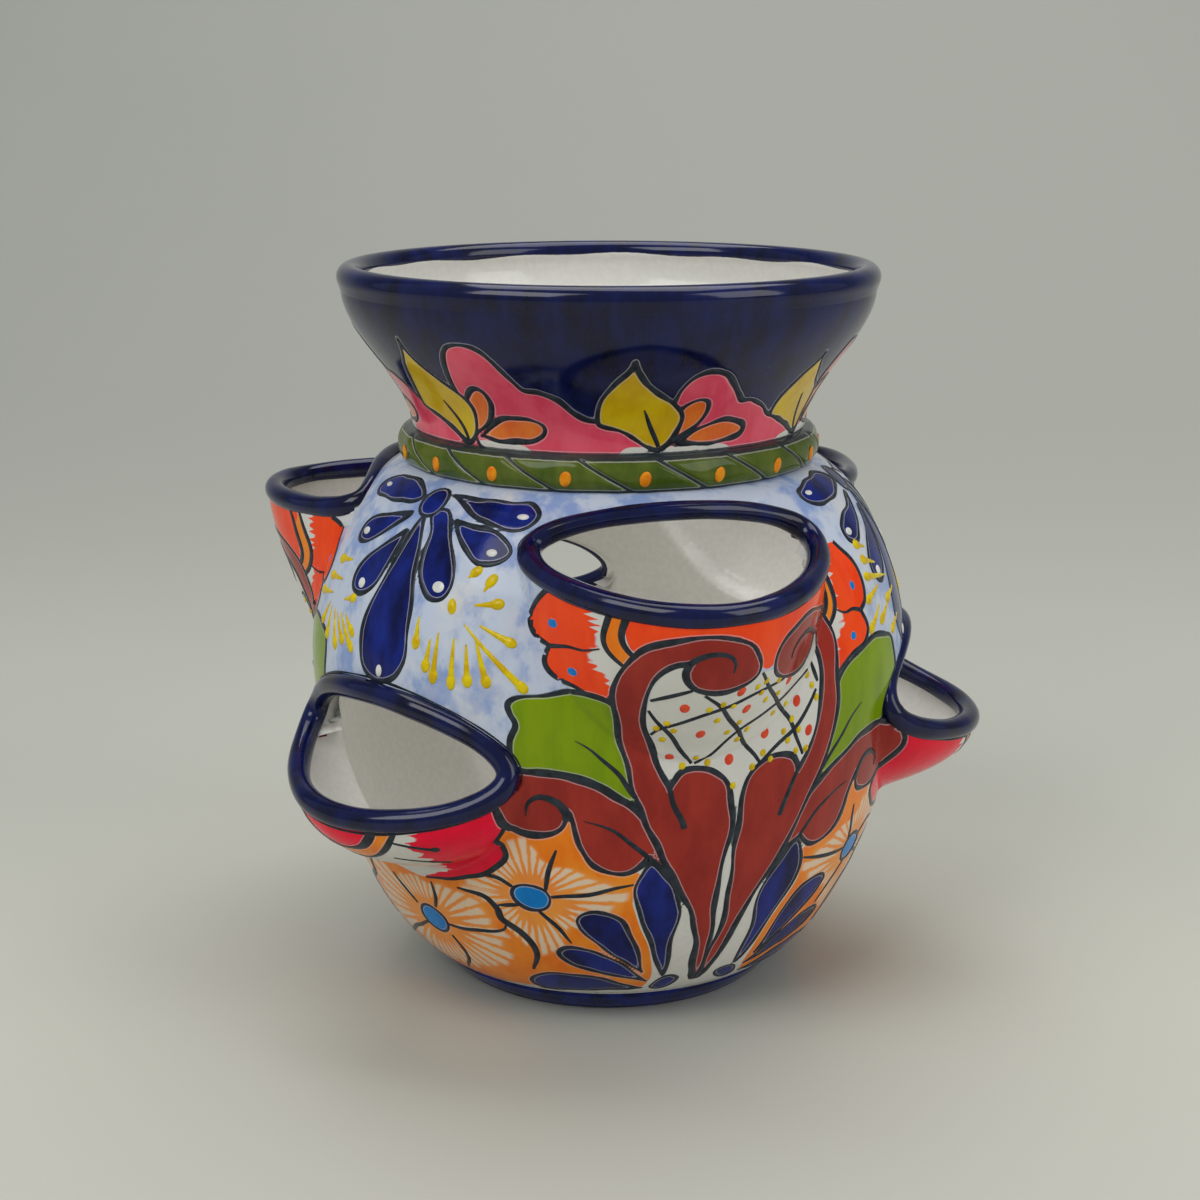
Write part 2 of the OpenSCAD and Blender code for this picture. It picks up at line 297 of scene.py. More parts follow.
def inside(u, z, outline):
    """Which points lie in a closed outline, by counting crossings."""
    x0, y0 = outline[:, 0], outline[:, 1]
    x1, y1 = np.roll(x0, -1), np.roll(y0, -1)
    rise = np.where(y1 == y0, 1e-9, y1 - y0)
    spans = (y0 > z[:, None]) != (y1 > z[:, None])
    left = u[:, None] < x0 + (z[:, None] - y0) * (x1 - x0) / rise
    return (spans & left).sum(1) % 2 == 1


def slimming(turns, thin):
    """How much of its thickness a roll keeps round its mouth."""
    return 1 - thin * np.clip(np.sin(np.radians(turns)), 0, None)


def mouth_loop(p, inset=0.0, step=3):
    """A mouth's edge as (degrees from the pocket's middle, height)."""
    q = mouth_points(p, np.arange(0, 360, step), inset)
    return np.stack([np.degrees(np.arctan2(q[:, 1], q[:, 0])), q[:, 2]], 1)


def in_mouths(azimuth, z, inset):
    """Which pocket's mouth a place of the surface lies in, or -1."""
    found = np.full(azimuth.shape, -1)
    for k, p in enumerate(POCKETS):
        loop = mouth_loop(p, inset)
        u = wrapped(azimuth - p["azimuth"])
        near = np.nonzero((np.abs(u) < 45) & (z > loop[:, 1].min()) & (z < loop[:, 1].max()))[0]
        found[near[inside(u[near], z[near], loop)]] = k
    return found


# ---- Paint ------------------------------------------------------------------

FAR = 9.0
LINE_PITCH = 0.9 * COARSE
LINE_LIFT = 0.2
PAINTS = ["white", "coral", "crimson", "pink", "lime", "brown", "orange", "amber", "yellow",
          "olive", "cobalt", "navy", "sky", "clay"]


def smooth(points, closed=True, steps=6):
    """A smooth curve through the points. A point given twice is a sharp corner."""
    p = np.array(points, float)
    if closed:
        before, start, end, after = (np.roll(p, k, 0) for k in (1, 0, -1, -2))
    else:
        long = np.vstack([p[:1], p, p[-1:]])
        before, start, end, after = long[:-3], long[1:-2], long[2:-1], long[3:]
    t = (np.arange(steps) / steps)[:, None, None]
    curve = 0.5 * (2 * start + (end - before) * t
                   + (2 * before - 5 * start + 4 * end - after) * t ** 2
                   + (3 * start - before - 3 * end + after) * t ** 3)
    curve = curve.transpose(1, 0, 2).reshape(-1, 2)
    return curve if closed else np.vstack([curve, p[-1:]])


def closed_up(points):
    return np.vstack([points, points[:1]])


def both_sides(half, middle):
    """A left half of an outline, a point in the middle, and the half mirrored."""
    return half + middle + [(-u, z) for u, z in reversed(half)]


def drift(azimuth, z):
    """How far a painter's hand strays, in degrees and millimetres."""
    a = np.radians(azimuth)
    along = 0.28 * np.sin(9 * a + 0.13 * z) + 0.16 * np.sin(31 * a - 0.29 * z + 1)
    up = 0.35 * np.sin(13 * a + 0.11 * z + 2) + 0.2 * np.sin(37 * a + 0.23 * z)
    return along, up


def distance(points, path):
    """Distance of each point to a path."""
    start, step = path[:-1], path[1:] - path[:-1]
    length2 = np.maximum((step ** 2).sum(1), 1e-12)
    off = points[:, None, :] - start[None]
    t = np.clip((off * step).sum(2) / length2, 0, 1)
    return np.sqrt(((off - t[..., None] * step) ** 2).sum(2).min(1))


def line_width(azimuth, z):
    """Half the width of a dark outline, which swells and thins along its way."""
    a = np.radians(azimuth)
    return 0.95 + 0.27 * np.sin(17 * a + 0.16 * z) + 0.12 * np.sin(47 * a - 0.3 * z)


class Lines:
    """Dark brush lines. They are gathered first, because paint laid later hides what
    it covers, and become raised strips in the end."""

    def __init__(self):
        self.runs = []

    def add(self, middle, flat, path, width):
        """A line through points. width is half its width, as a function of its share
        of the length, the azimuth and the height."""
        run = np.concatenate([[0], np.cumsum(np.linalg.norm(np.diff(path, axis=0), axis=1))])
        at = np.linspace(0, run[-1], max(4, round(run[-1] / LINE_PITCH)) + 1)
        u, z = np.interp(at, run, flat[:, 0]), np.interp(at, run, flat[:, 1])
        self.runs.append(dict(middle=middle, u=u, z=z, shown=np.ones(len(u), bool),
                              width=width(at / run[-1], middle + u, z)))

    def hide(self, middle, outline):
        """Hides what a new fill covers."""
        low, high = outline.min(0), outline.max(0)
        for run in self.runs:
            u, z = run["u"] + wrapped(run["middle"] - middle), run["z"]
            if u.min() < high[0] and u.max() > low[0] and z.min() < high[1] and z.max() > low[1]:
                run["shown"] &= ~inside(u, z, outline)

    def strips(self):
        """Points and faces of the strips, four points across."""
        azimuth = np.concatenate([run["middle"] + run["u"] for run in self.runs])
        z, shown, width = (np.concatenate([run[key] for run in self.runs])
                           for key in ("z", "shown", "width"))
        start = np.cumsum([0] + [len(run["u"]) for run in self.runs])
        here, _, _, out = surface_frame(azimuth, z, step=0.25)
        along = np.vstack([np.gradient(here[a:b], axis=0) for a, b in zip(start, start[1:])])
        side = unit(np.cross(out, along))
        shown &= (in_mouths(wrapped(azimuth), z, -2.0) < 0) & (width > 0.06)
        section = ((-1, -0.12), (-0.6, 1), (0.6, 1), (1, -0.12))
        points = np.stack([here + side * (width * k)[:, None] + out * (LINE_LIFT * high)
                           for k, high in section], 1)
        ends = np.zeros(len(z), bool)
        ends[start[1:] - 1] = True
        row = 4 * np.nonzero(shown[:-1] & shown[1:] & ~ends[:-1])[0]
        faces = np.stack([np.stack([row + k, row + k + 1, row + k + 5, row + k + 4], 1)
                          for k in range(3)], 1)
        return points.reshape(-1, 3), faces.reshape(-1, 4)


def blank(count, **fields):
    """Fields of an unpainted, white glazed skin, but for those given. A paint's field
    is the signed distance to its edge in millimetres, below zero where it lies."""
    values = {name: np.full(count, FAR) for name in PAINTS + ["ink"]}
    values.update(wash=np.zeros(count), ray_turn=np.zeros(count), ray_out=np.full(count, FAR))
    values.update(fields)
    return values


class Canvas:
    """Paint on a skin, as fields over its vertices."""

    def __init__(self, azimuth, z, grid):
        self.azimuth, self.z, self.points = azimuth.ravel(), z.ravel(), grid.reshape(-1, 3)
        self.fields = blank(azimuth.size)
        self.lines = Lines()

    def place(self, middle, curve):
        """The hand-drawn curve as (azimuth from the middle, height) and as points."""
        along, up = drift(middle + curve[:, 0], curve[:, 1])
        flat = np.stack([curve[:, 0] + along, curve[:, 1] + up], 1)
        return flat, on_surface(middle + flat[:, 0], flat[:, 1])

    def near(self, middle, flat, margin=3.5):
        u = wrapped(self.azimuth - middle)
        low, high = flat.min(0), flat.max(0)
        wide = margin / 1.1
        return np.nonzero((u > low[0] - wide) & (u < high[0] + wide)
                          & (self.z > low[1] - margin) & (self.z < high[1] + margin))[0]

    def lay(self, paint, idx, signed, ink=None):
        """Lays a paint over whatever is there, with or without a dark outline."""
        for name in PAINTS:
            field = self.fields[name]
            field[idx] = (np.minimum(field[idx], signed) if name == paint
                          else np.maximum(field[idx], -signed))
        dark = self.fields["ink"]
        if ink is None:
            dark[idx] = np.where(signed < 0, np.maximum(dark[idx], -signed), dark[idx])
        else:
            edge = np.abs(signed) - ink * line_width(self.azimuth[idx], self.z[idx])
            dark[idx] = np.where(signed < 0, edge, np.minimum(dark[idx], edge))

    def fill(self, paint, middle, outline, ink=1.0, mirror=False):
        """Fills an outline, given as a curve or as points to smooth. ink scales its
        dark outline, and None leaves it out."""
        curve = outline if isinstance(outline, np.ndarray) else smooth(outline)
        flat, path = self.place(middle, curve * (-1, 1) if mirror else curve)
        self.lines.hide(middle, flat)
        flat, path = closed_up(flat), closed_up(path)
        if ink is not None:
            self.lines.add(middle, flat, path, lambda t, a, z: ink * line_width(a, z))
        idx = self.near(middle, flat)
        if len(idx):
            gap = distance(self.points[idx], path)
            u = wrapped(self.azimuth[idx] - middle)
            self.lay(paint, idx, np.where(inside(u, self.z[idx], flat), -gap, gap), ink)

    def stroke(self, middle, route, widths, mirror=False):
        """A dark brush line. widths are its half widths at the start, middle and end."""
        curve = smooth(route, closed=False) if len(route) > 2 else np.array(route, float)
        flat, path = self.place(middle, curve * (-1, 1) if mirror else curve)
        first, half, last = widths
        self.lines.add(middle, flat, path,
                       lambda t, a, z: first * (1 - t) * (1 - 2 * t) + 4 * half * t * (1 - t)
                       + last * t * (2 * t - 1))

    def fan(self, middle, at, reach, mirror):
        """Fields for a flower's rays: which ray a place is nearest to, counted round the
        flower, and how far out it lies, 0 at the heart and 1 at the petal's edge."""
        u = wrapped(self.azimuth - middle) * (-1 if mirror else 1) - at[0]
        idx = np.nonzero((np.abs(u) < 32) & (np.abs(self.z - at[1]) < 45))[0]
        x = u[idx] * math.radians(1) * float(body_r(at[1]))
        y = self.z[idx] - at[1]
        angle = np.degrees(np.arctan2(y, x))
        reach = np.interp(angle, *np.array(reach, float).T, period=360)
        out = (np.hypot(x, y) - HEART_R) / (reach - HEART_R)
        nearer = out < self.fields["ray_out"][idx]
        self.fields["ray_out"][idx[nearer]] = out[nearer]
        self.fields["ray_turn"][idx[nearer]] = (angle[nearer] + 180) / 360 * FLOWER_RAYS


def jagged(route, depth, pitch, seed):
    """A feathered edge: the route with brush tips that alternate to either side.
    depth is in degrees and pitch is the number of tips."""
    rng = np.random.default_rng(seed)
    curve = smooth(route, closed=False)
    t = np.linspace(0, len(curve) - 1, 2 * pitch + 1)
    x, y = (np.interp(t, np.arange(len(curve)), curve[:, k]) for k in (0, 1))
    side = np.where(np.arange(len(t)) % 2 == 0, 0.3, -1.0)
    return np.stack([x + depth * side * rng.uniform(0.5, 1.2, len(t)),
                     y + rng.uniform(-0.4, 0.4, len(t))], 1)


# ---- The painted groups -----------------------------------------------------
# Each group is drawn for its left half, and mirrored for the right one.

GROUP_A = [-67.0, 60.0, 160.0]
PLUMES = [-134.5, -11.0, 106.5]
BIBS = [-135.0, 1.0, 116.5]

SCROLL = [(-1.5, 20), (-3.5, 38), (-6.5, 54), (-10.5, 70), (-14.5, 87), (-18, 102), (-20.2, 115),
    (-21.5, 127), (-22, 137), (-22.2, 147), (-21.5, 156), (-19.5, 163), (-16.5, 167), (-12, 169.5),
    (-7.5, 170), (-4, 167), (-2.2, 163), (-1.4, 158), (-2, 153), (-4, 149.5), (-7.2, 147.7), (-10.5, 149),
    (-12.4, 152), (-13, 156), (-12.4, 160), (-12.4, 160), (-14.2, 159), (-16.2, 155), (-17.3, 149.5),
    (-17.7, 142), (-17.2, 133.5), (-16, 123.5), (-14.2, 113), (-13, 107.5), (-13, 107.5), (-12.2, 110.5),
    (-10.8, 113.7), (-8, 115), (-5, 114), (-2.5, 109.5), (-1.2, 102), (-0.6, 92), (-0.8, 79), (-1.4, 62),
    (-1, 45), (-0.2, 32), (0.2, 20.5)]
SCROLL_CURL = [(-12.4, 160), (-11, 162.3), (-8.8, 163.3), (-6.8, 162), (-5.8, 158.7), (-5.9, 155.5)]
SCROLL_SPLIT = [(-13, 107.5), (-11.8, 101), (-10.4, 95), (-9.6, 91)]
LATTICE_GROUND = [(-17, 150), (-16, 158), (-10, 160), (0, 154), (10, 160), (16, 158), (17, 150), (17, 135),
    (14, 112), (2, 100), (0, 62), (-2, 100), (-14, 112), (-17, 135)]
LATTICE = [[(-17, 145.3), (-11.5, 149.2)],
    [(-16.2, 130), (-14, 134), (-6.5, 140.6), (1, 146.3), (5, 148)],
    [(-8.5, 117), (-5, 121), (-1.7, 129.5), (2, 133.6), (7, 139.5), (14, 145.5)],
    [(4, 113), (8, 119.5), (12, 126.5), (16, 137.5)],
    [(-17, 141), (-14.4, 133.6), (-12, 126.6), (-9, 117)],
    [(-9.5, 147), (-6.5, 140.8), (-2, 129.6), (1, 122), (4.5, 113.5)],
    [(-1, 154), (1, 148), (4, 140), (8, 132), (10.5, 125), (13.2, 113.5)], [(15.5, 147), (16.5, 140)]]
LATTICE_DOTS = [(-15.7, 133), (-14.2, 135.3), (-13, 132), (-14.5, 128), (-8.3, 141), (-6.3, 142.7),
    (-4.5, 141.5), (-6.5, 135.8), (-4, 129.5), (-2.3, 133.3), (0, 129), (-1.3, 125), (-1, 148),
    (0.5, 149.5), (3.5, 148), (0.2, 145), (1.7, 141), (4.5, 142), (5.2, 133), (8.3, 135), (8.7, 124),
    (10.3, 128), (12, 123.5), (9.7, 120.3), (-10.5, 116), (-8.2, 118.7), (-6, 116.5), (2.6, 112.5),
    (4.6, 117.3), (6.2, 114.5), (15, 138.8), (16, 134), (14, 143), (11.7, 115.5), (14, 115.5), (-1, 106.3)]
LATTICE_SPOTS = [(-12, 142), (-8.6, 130), (-12.9, 119.5), (-3.8, 147.3), (-1.8, 139), (-2, 116.7),
    (4.7, 124.8), (6.7, 146), (11.4, 134.4), (14.4, 122.3)]
BIB_GROUND = [(-29, 184), (-18, 184), (-20, 168), (-18, 156), (-20, 141), (-29, 141)]
PETAL_EDGE = [(-31.5, 184), (-35.5, 176.5), (-37.2, 169), (-36, 162.5), (-33.2, 159.4), (-33.2, 159.4),
    (-34.2, 153), (-32, 148), (-28, 145.3), (-24.5, 142), (-21, 137)]
PETAL_INNER = [(-20.5, 139), (-22, 148), (-23.8, 155), (-25.6, 160), (-24.6, 165), (-25.2, 172),
    (-26.5, 184)]
PETAL_SPLIT = [(-33.2, 159.4), (-30, 161.2), (-27, 161), (-24.5, 163)]
PETAL_DOTS = [(-32.4, 168.5), (-28.8, 151.8)]
PETAL_SQUEEZE = 0.96
RING_OUT = [(-22, 184), (-23.4, 176), (-24.2, 168), (-23, 161.5), (-20.3, 156)]
RING_IN = [(-19.2, 184), (-20.8, 175), (-21.5, 168), (-20.4, 162.5), (-18, 159)]
UNDER_LIP = both_sides([(-18.4, 186), (-20.3, 175), (-20.9, 168), (-19.2, 162.5), (-12, 163),
    (-4, 163)], [(0, 155)])
LEAF = [(-40.8, 138.3), (-39, 140.4), (-34, 141.8), (-28, 143.8), (-24, 143.4), (-22, 140.3), (-21.6, 132),
    (-20.6, 122), (-19, 112), (-16.5, 99), (-16.5, 99), (-21, 105), (-26, 111), (-32, 113.7), (-38, 114),
    (-39.8, 118), (-40.2, 125), (-39.2, 131), (-40.2, 135)]
LEAF_RIGHT = [(-43, 144.5), (-40, 147), (-36, 148.6), (-32, 148), (-28, 144.6), (-24, 141), (-21.6, 135),
    (-20.8, 125), (-20, 115), (-18, 107), (-16.5, 98), (-16.5, 98), (-24, 105.5), (-29, 110.5),
    (-34, 112.5), (-39, 114), (-42.5, 115.5), (-44.5, 120), (-44.5, 130), (-44.2, 138)]
LEAF_RIB = [(-29.2, 126.2), (-25.5, 121.2), (-21.5, 112.8), (-18.5, 104.5)]
SIDE_SCROLL = [(-40.5, 111.5), (-38, 113.2), (-34, 113.9), (-29, 112.4), (-24, 108), (-19, 101.2),
    (-14, 90.3), (-9.5, 77), (-6, 62), (-3, 45), (-1, 30), (-0.4, 20.3), (-1.6, 20.3), (-2.5, 26),
    (-4.5, 42), (-7.5, 58.5), (-11, 71), (-14, 77.3), (-15.8, 79.7), (-15.8, 79.7), (-18, 75.8),
    (-21, 73.6), (-24.2, 74.5), (-27, 78.3), (-28.5, 84), (-29, 90.3), (-29.6, 96), (-30.3, 99),
    (-30.8, 95), (-32, 91), (-35, 88.8), (-38.8, 88.8), (-41.4, 92), (-42, 99), (-41.6, 106)]
SIDE_CURL = [(-38, 96), (-37.4, 101), (-34.8, 103.8), (-32, 102.6), (-30.6, 98.5), (-30.4, 95)]
SIDE_RIB = [(-27.2, 95.8), (-23.5, 93.2), (-19.5, 87.8), (-15.6, 80)]
MEADOW = [(-68, 61), (-60, 63), (-53, 70), (-47, 82), (-44, 92), (-38, 96), (-30, 96), (-26, 84), (-20, 76),
    (-17, 72), (-18.6, 60), (-16, 47), (-13, 32), (-13.5, 20), (-19, 15), (-44, 14), (-68, 13.6)]
DROPS = [[(-14.8, 78), (-17, 73), (-18.2, 67), (-17.7, 58.7), (-15.5, 48.5), (-13, 37), (-10.8, 26.2),
    (-9.5, 23.7), (-9.2, 32), (-9.5, 43.7), (-9, 55), (-10, 63.7), (-12, 71.2)],
    [(-29.3, 52.8), (-27.5, 56.2), (-24.5, 56.8), (-21, 53.8), (-18.5, 47), (-16.4, 37), (-15.2, 27),
    (-15.2, 27), (-18, 30.3), (-23, 37.8), (-27.5, 46.2)],
    [(-34.4, 35.7), (-32, 39), (-27, 38.3), (-22, 33.7), (-18, 27.8), (-14.5, 21.2), (-14.5, 21.2),
    (-20, 24), (-27, 27), (-32, 30.3)],
    [(-43.2, 17.8), (-40, 23), (-34, 24.5), (-26, 22.8), (-19, 18.7), (-15.5, 16), (-15.5, 16),
    (-26, 14.8), (-34, 14.2), (-41.5, 14.2)],
    [(-12.4, 16.6), (-10.5, 21.3), (-7.5, 22.4), (-5.3, 20), (-7, 16.3), (-10, 15)]]
HEART_R = 6.5
FLOWER_RAYS = 36
FLOWER_HEART = (4.0, 5.9)
SIDE_FLOWER = dict(at=(-38.2, 61.6), lines=[[(-35.2, 66), (-34.4, 74), (-32.8, 83)],
    [(-34, 63), (-27, 64.5), (-18.5, 69)], [(-37, 56), (-34, 49.5), (-31, 41.5)],
    [(-41.5, 57.5), (-46, 55.5)], [(-41.3, 65), (-45, 68.6), (-49, 68.6)]],
    reach=[(-157, 16), (-135, 20), (-110, 24), (-90, 31), (-60, 24), (-45, 20), (-20, 33), (0, 36),
    (12, 37), (28, 26), (60, 18), (75, 20), (90, 27), (110, 26), (130, 18), (150, 21), (165, 30),
    (180, 31), (190, 24)])
SEAM = [(-55, 60.5), (-49, 58.5), (-46.5, 54), (-46, 49), (-42, 44), (-40, 38), (-39.5, 32), (-41, 26)]
# A bib that rises more than this stands between two side flowers and has none itself
FLOWER_ROOM = 10.0
LOW_FLOWER = dict(at=(2.7, 40.4), lines=[[(5.3, 47), (6.4, 53), (6, 60)],
    [(-1.3, 45.5), (-4, 51), (-6.7, 56)], [(6.8, 39.5), (14, 41), (21.3, 44), (22.6, 47)],
    [(6.3, 34), (7.6, 28), (6.7, 22), (3, 15.5)], [(-1, 36.5), (-8, 31), (-19, 20), (-30, 15.5)]],
    reach=[(-160, 37), (-140, 33), (-120, 29), (-90, 25), (-75, 25), (-60, 27), (-40, 33), (-20, 36),
    (0, 37), (8, 33), (15, 36), (30, 34), (45, 28), (60, 24), (80, 20), (110, 21), (135, 22), (150, 40),
    (180, 40)])

PLUME_HEART = (3.8, 4.3)
PLUME = [([(-4.6, 200.5), (-9, 203.6), (-18, 203.8), (-25.5, 202), (-27.4, 199.4), (-25, 196.8),
    (-18, 196.4), (-9, 198)], (-23.3, 200.2), (1.5, 1.1)),
    ([(-4.8, 195.6), (-10, 193.3), (-16, 191.2), (-20, 187.6), (-19.6, 182.6), (-15.6, 181.6),
    (-11.5, 186), (-6.5, 192.6)], (-17.8, 185.3), (1.6, 1.5)),
    ([(-3.4, 190), (-6.5, 186), (-11.5, 179.3), (-14.4, 172.6), (-13.8, 166.8), (-10.4, 165), (-7, 169),
    (-5, 177), (-3.4, 186)], (-11.3, 168.8), (1.5, 1.9)),
    ([(2, 196.5), (5.8, 197.6), (9.4, 191), (12.6, 182), (13.6, 175.4), (11.8, 170.6), (8.4, 170),
    (5.6, 175), (4.2, 183.6), (4, 191)], (10.3, 174), (1.7, 2)),
    ([(9.5, 194.6), (9.5, 194.6), (14, 194.4), (19, 193.6), (23, 191), (24.2, 187.6), (22, 183.8),
    (18, 183.2), (14.6, 186.2), (11.4, 191)], (20.3, 187), (1.4, 1.4)),
    ([(5, 201.8), (5, 201.8), (12, 202.2), (20, 202.8), (26, 202.4), (28.8, 199.4), (26.5, 195.6),
    (21, 194.8), (14, 197), (9, 199.6)], (25, 198.6), (1.5, 1.2)),
    ([(1.4, 191), (-0.4, 194.6), (-2, 187), (-4, 176), (-6, 164), (-7.2, 152), (-6.2, 142.4),
    (-2, 137.6), (2.6, 139.4), (5.4, 146), (5.4, 156), (4.4, 168), (3.2, 180)], (-0.9, 141), (1.1, 2.2))]
SPRAYS = [[(-19, 174.6, -24.5, 173), (-20.5, 166.8, -27, 165.8), (-17.2, 160.8, -13.6, 162.6),
    (-24, 160.5, -31, 158.6), (-15, 156, -11.6, 151.4), (-19, 155, -15, 147), (-17.4, 156, -11.2, 146),
    (-20.6, 156, -17.8, 144.4), (-22.5, 156, -22.5, 146), (-24, 157, -26.4, 149.6)],
    [(7.4, 163, 7.6, 154.4), (10.8, 156.4, 10.4, 147), (12.4, 159, 12.2, 144), (15.8, 158, 16, 143),
    (18.4, 156.6, 19.2, 144.2), (20, 159.6, 22.8, 144.8), (17.6, 163, 29.4, 144),
    (20.6, 163.4, 26.8, 158.8), (19, 169.8, 23.6, 171), (14.2, 169.4, 14.3, 168.4),
    (20.4, 174.6, 21.6, 178.2), (16.6, 178.4, 18, 180.6)]]
SPRAY_FAN = [(-14, 178.5, -17.5, 180.5), (-12, 172, -17, 174.8), (-7.5, 165.5, -18, 169),
    (-14, 164.5, -20, 161.5), (-16, 158, -21.2, 151.5), (-11, 157, -16, 152.5), (-6, 150, -11, 146.5),
    (-5, 160, -10.5, 158)]
# The sprays to the left and to the right of each plume, and how far they spread
PLUME_SPRAYS = [((SPRAYS[0], 0.95), (SPRAYS[1], 1.0)), ((SPRAY_FAN, 1.0), (SPRAYS[1], 1.0)),
    ((SPRAYS[0], 0.3), (SPRAYS[1], 0.5))]

# The bib that the photograph shows from its side, with wider and plain petals
PLAIN_BIB = 1
BIB_MIDDLE = both_sides([(-9, 100), (-8.4, 90), (-6, 84), (-2, 80.6)], [])
BIB_BAND = both_sides([(-12.6, 101), (-12, 92), (-9.6, 83), (-4, 76.6)], [(0, 75.4)])
LOW_GROUND = both_sides([(-24, 101), (-22, 84), (-17, 70), (-8, 62.5)], [(0, 61)])
LOW_PETAL = [(-27, 102), (-26.4, 92), (-24.6, 86), (-24.6, 86), (-25.6, 79), (-23, 72.6), (-18.5, 67.4),
    (-12, 63.8), (-5, 61.4)]
LOW_INNER = [(-6, 63), (-11.5, 68.5), (-13.5, 76), (-13.2, 84), (-14.4, 92), (-15, 102)]
LOW_DOTS = [((-16.6, 84.4), (-9.8, 87.5), 2.1), ((-15.6, 75.2), (-9.4, 78.5), 1.6)]


def spot(canvas, paint, middle, at, size, ink=None, mirror=False):
    """An oval of paint. size is its half widths in degrees and millimetres."""
    turn = np.radians(np.arange(0, 360, 20))
    oval = np.stack([at[0] + size[0] * np.cos(turn), at[1] + size[1] * np.sin(turn)], 1)
    canvas.fill(paint, middle, oval, ink, mirror)


def moved(points, wide=1.0, rise=0.0):
    """Points drawn wider or narrower, and higher."""
    return [(u * wide, z + rise) for u, z in points]


def paint_flower(canvas, middle, flower, mirror=False, rise=0.0):
    """A flower with fans of rays, dark lines between its petals and a blue heart."""
    at = moved([flower["at"]], rise=rise)[0]
    canvas.fan(middle, at, flower["reach"], mirror)
    for route in flower["lines"]:
        canvas.stroke(middle, moved(route, rise=rise), (0.7, 1.0, 0.4), mirror)
    spot(canvas, "sky", middle, at, FLOWER_HEART, 0.8, mirror)


def paint_bib(canvas, middle, mirror, seed):
    """The coral petals, the ring and the white ground beside an upper pocket."""
    wide = PETAL_SQUEEZE if mirror else 1
    canvas.fill("white", middle, BIB_GROUND, None, mirror)
    outer = smooth(moved(PETAL_EDGE, wide), closed=False)
    petal = np.vstack([outer, jagged(moved(PETAL_INNER, wide), 2.0, 27, seed)])
    canvas.fill("coral", middle, petal, None, mirror)
    canvas.stroke(middle, moved(PETAL_EDGE, wide), (1.0, 1.1, 0.6), mirror)
    canvas.stroke(middle, moved(PETAL_SPLIT, wide), (1.0, 0.6, 0.3), mirror)
    for at in moved(PETAL_DOTS, wide):
        spot(canvas, "sky", middle, at, (0.85, 1.7), mirror=mirror)
    band = np.vstack([smooth(RING_OUT, closed=False), smooth(RING_IN, closed=False)[::-1]])
    canvas.fill("orange", middle, band, None, mirror)
    canvas.stroke(middle, RING_OUT, (0.9, 1.4, 0.7), mirror)


def paint_group_a(canvas, middle, seed):
    """The scroll frame and all that goes with it, under an upper pocket."""
    for mirror in (False, True):
        paint_flower(canvas, middle, SIDE_FLOWER, mirror)
        canvas.stroke(middle, SEAM, (0.5, 1.7, 0.6), mirror)
        paint_bib(canvas, middle, mirror, seed + 2 + mirror)
    canvas.fill("coral", middle, UNDER_LIP, None)
    for mirror in (False, True):
        canvas.stroke(middle, RING_IN, (0.9, 1.6, 0.8), mirror)
    canvas.fill("white", middle, LATTICE_GROUND, None)
    for route in LATTICE:
        canvas.stroke(middle, route, (0.6, 0.95, 0.65))
    for mirror in (False, True):
        canvas.fill("lime", middle, LEAF_RIGHT if mirror else LEAF, mirror=mirror)
        canvas.stroke(middle, LEAF_RIB, (0.1, 0.8, 1.0), mirror)
        canvas.fill("brown", middle, SIDE_SCROLL, 1.25, mirror)
        canvas.stroke(middle, SIDE_CURL, (0.2, 1.3, 1.9), mirror)
        canvas.stroke(middle, SIDE_RIB, (0.1, 0.8, 1.0), mirror)
        for outline in DROPS:
            canvas.fill("cobalt", middle, outline, 0.75, mirror)
    for mirror in (True, False):
        canvas.fill("brown", middle, SCROLL, mirror=mirror)
        canvas.stroke(middle, SCROLL_CURL, (1.3, 1.0, 0.4), mirror)
        canvas.stroke(middle, SCROLL_SPLIT, (1.0, 1.1, 1.2), mirror)


def low_dots(k):
    """The dots on a lower pocket's petals, each with the end of its line."""
    return [] if k == PLAIN_BIB else LOW_DOTS


def paint_low_bib(canvas, k):
    """The petals under a lower pocket, and the flower below them."""
    middle, rise = BIBS[k], LOWER_RISES[k]
    # Only the plain bib has its own widths
    edge, inner, ring = (1.1, 0.75, 0.8) if k == PLAIN_BIB else (1, 1, 1)
    canvas.fill("white", middle, moved(LOW_GROUND, rise=rise), None)
    petal_edge = moved(LOW_PETAL, edge, rise)
    for mirror in (False, True):
        tips = jagged(moved(LOW_INNER, inner, rise), 2.0, 23, 40 + 10 * k + mirror)
        petal = np.vstack([smooth(petal_edge, closed=False), tips])
        canvas.fill("crimson", middle, petal, None, mirror)
        canvas.stroke(middle, petal_edge, (1.0, 1.2, 0.4), mirror)
        for at, end, _ in low_dots(k):
            canvas.stroke(middle, moved([end, at], rise=rise), (0.4, 0.7, 1.2), mirror)
    canvas.fill("orange", middle, moved(BIB_BAND, ring, rise), 1.1)
    canvas.fill("crimson", middle, moved(BIB_MIDDLE, ring, rise), 1.4)
    if rise < FLOWER_ROOM:
        paint_flower(canvas, middle, LOW_FLOWER, rise=rise / 2)


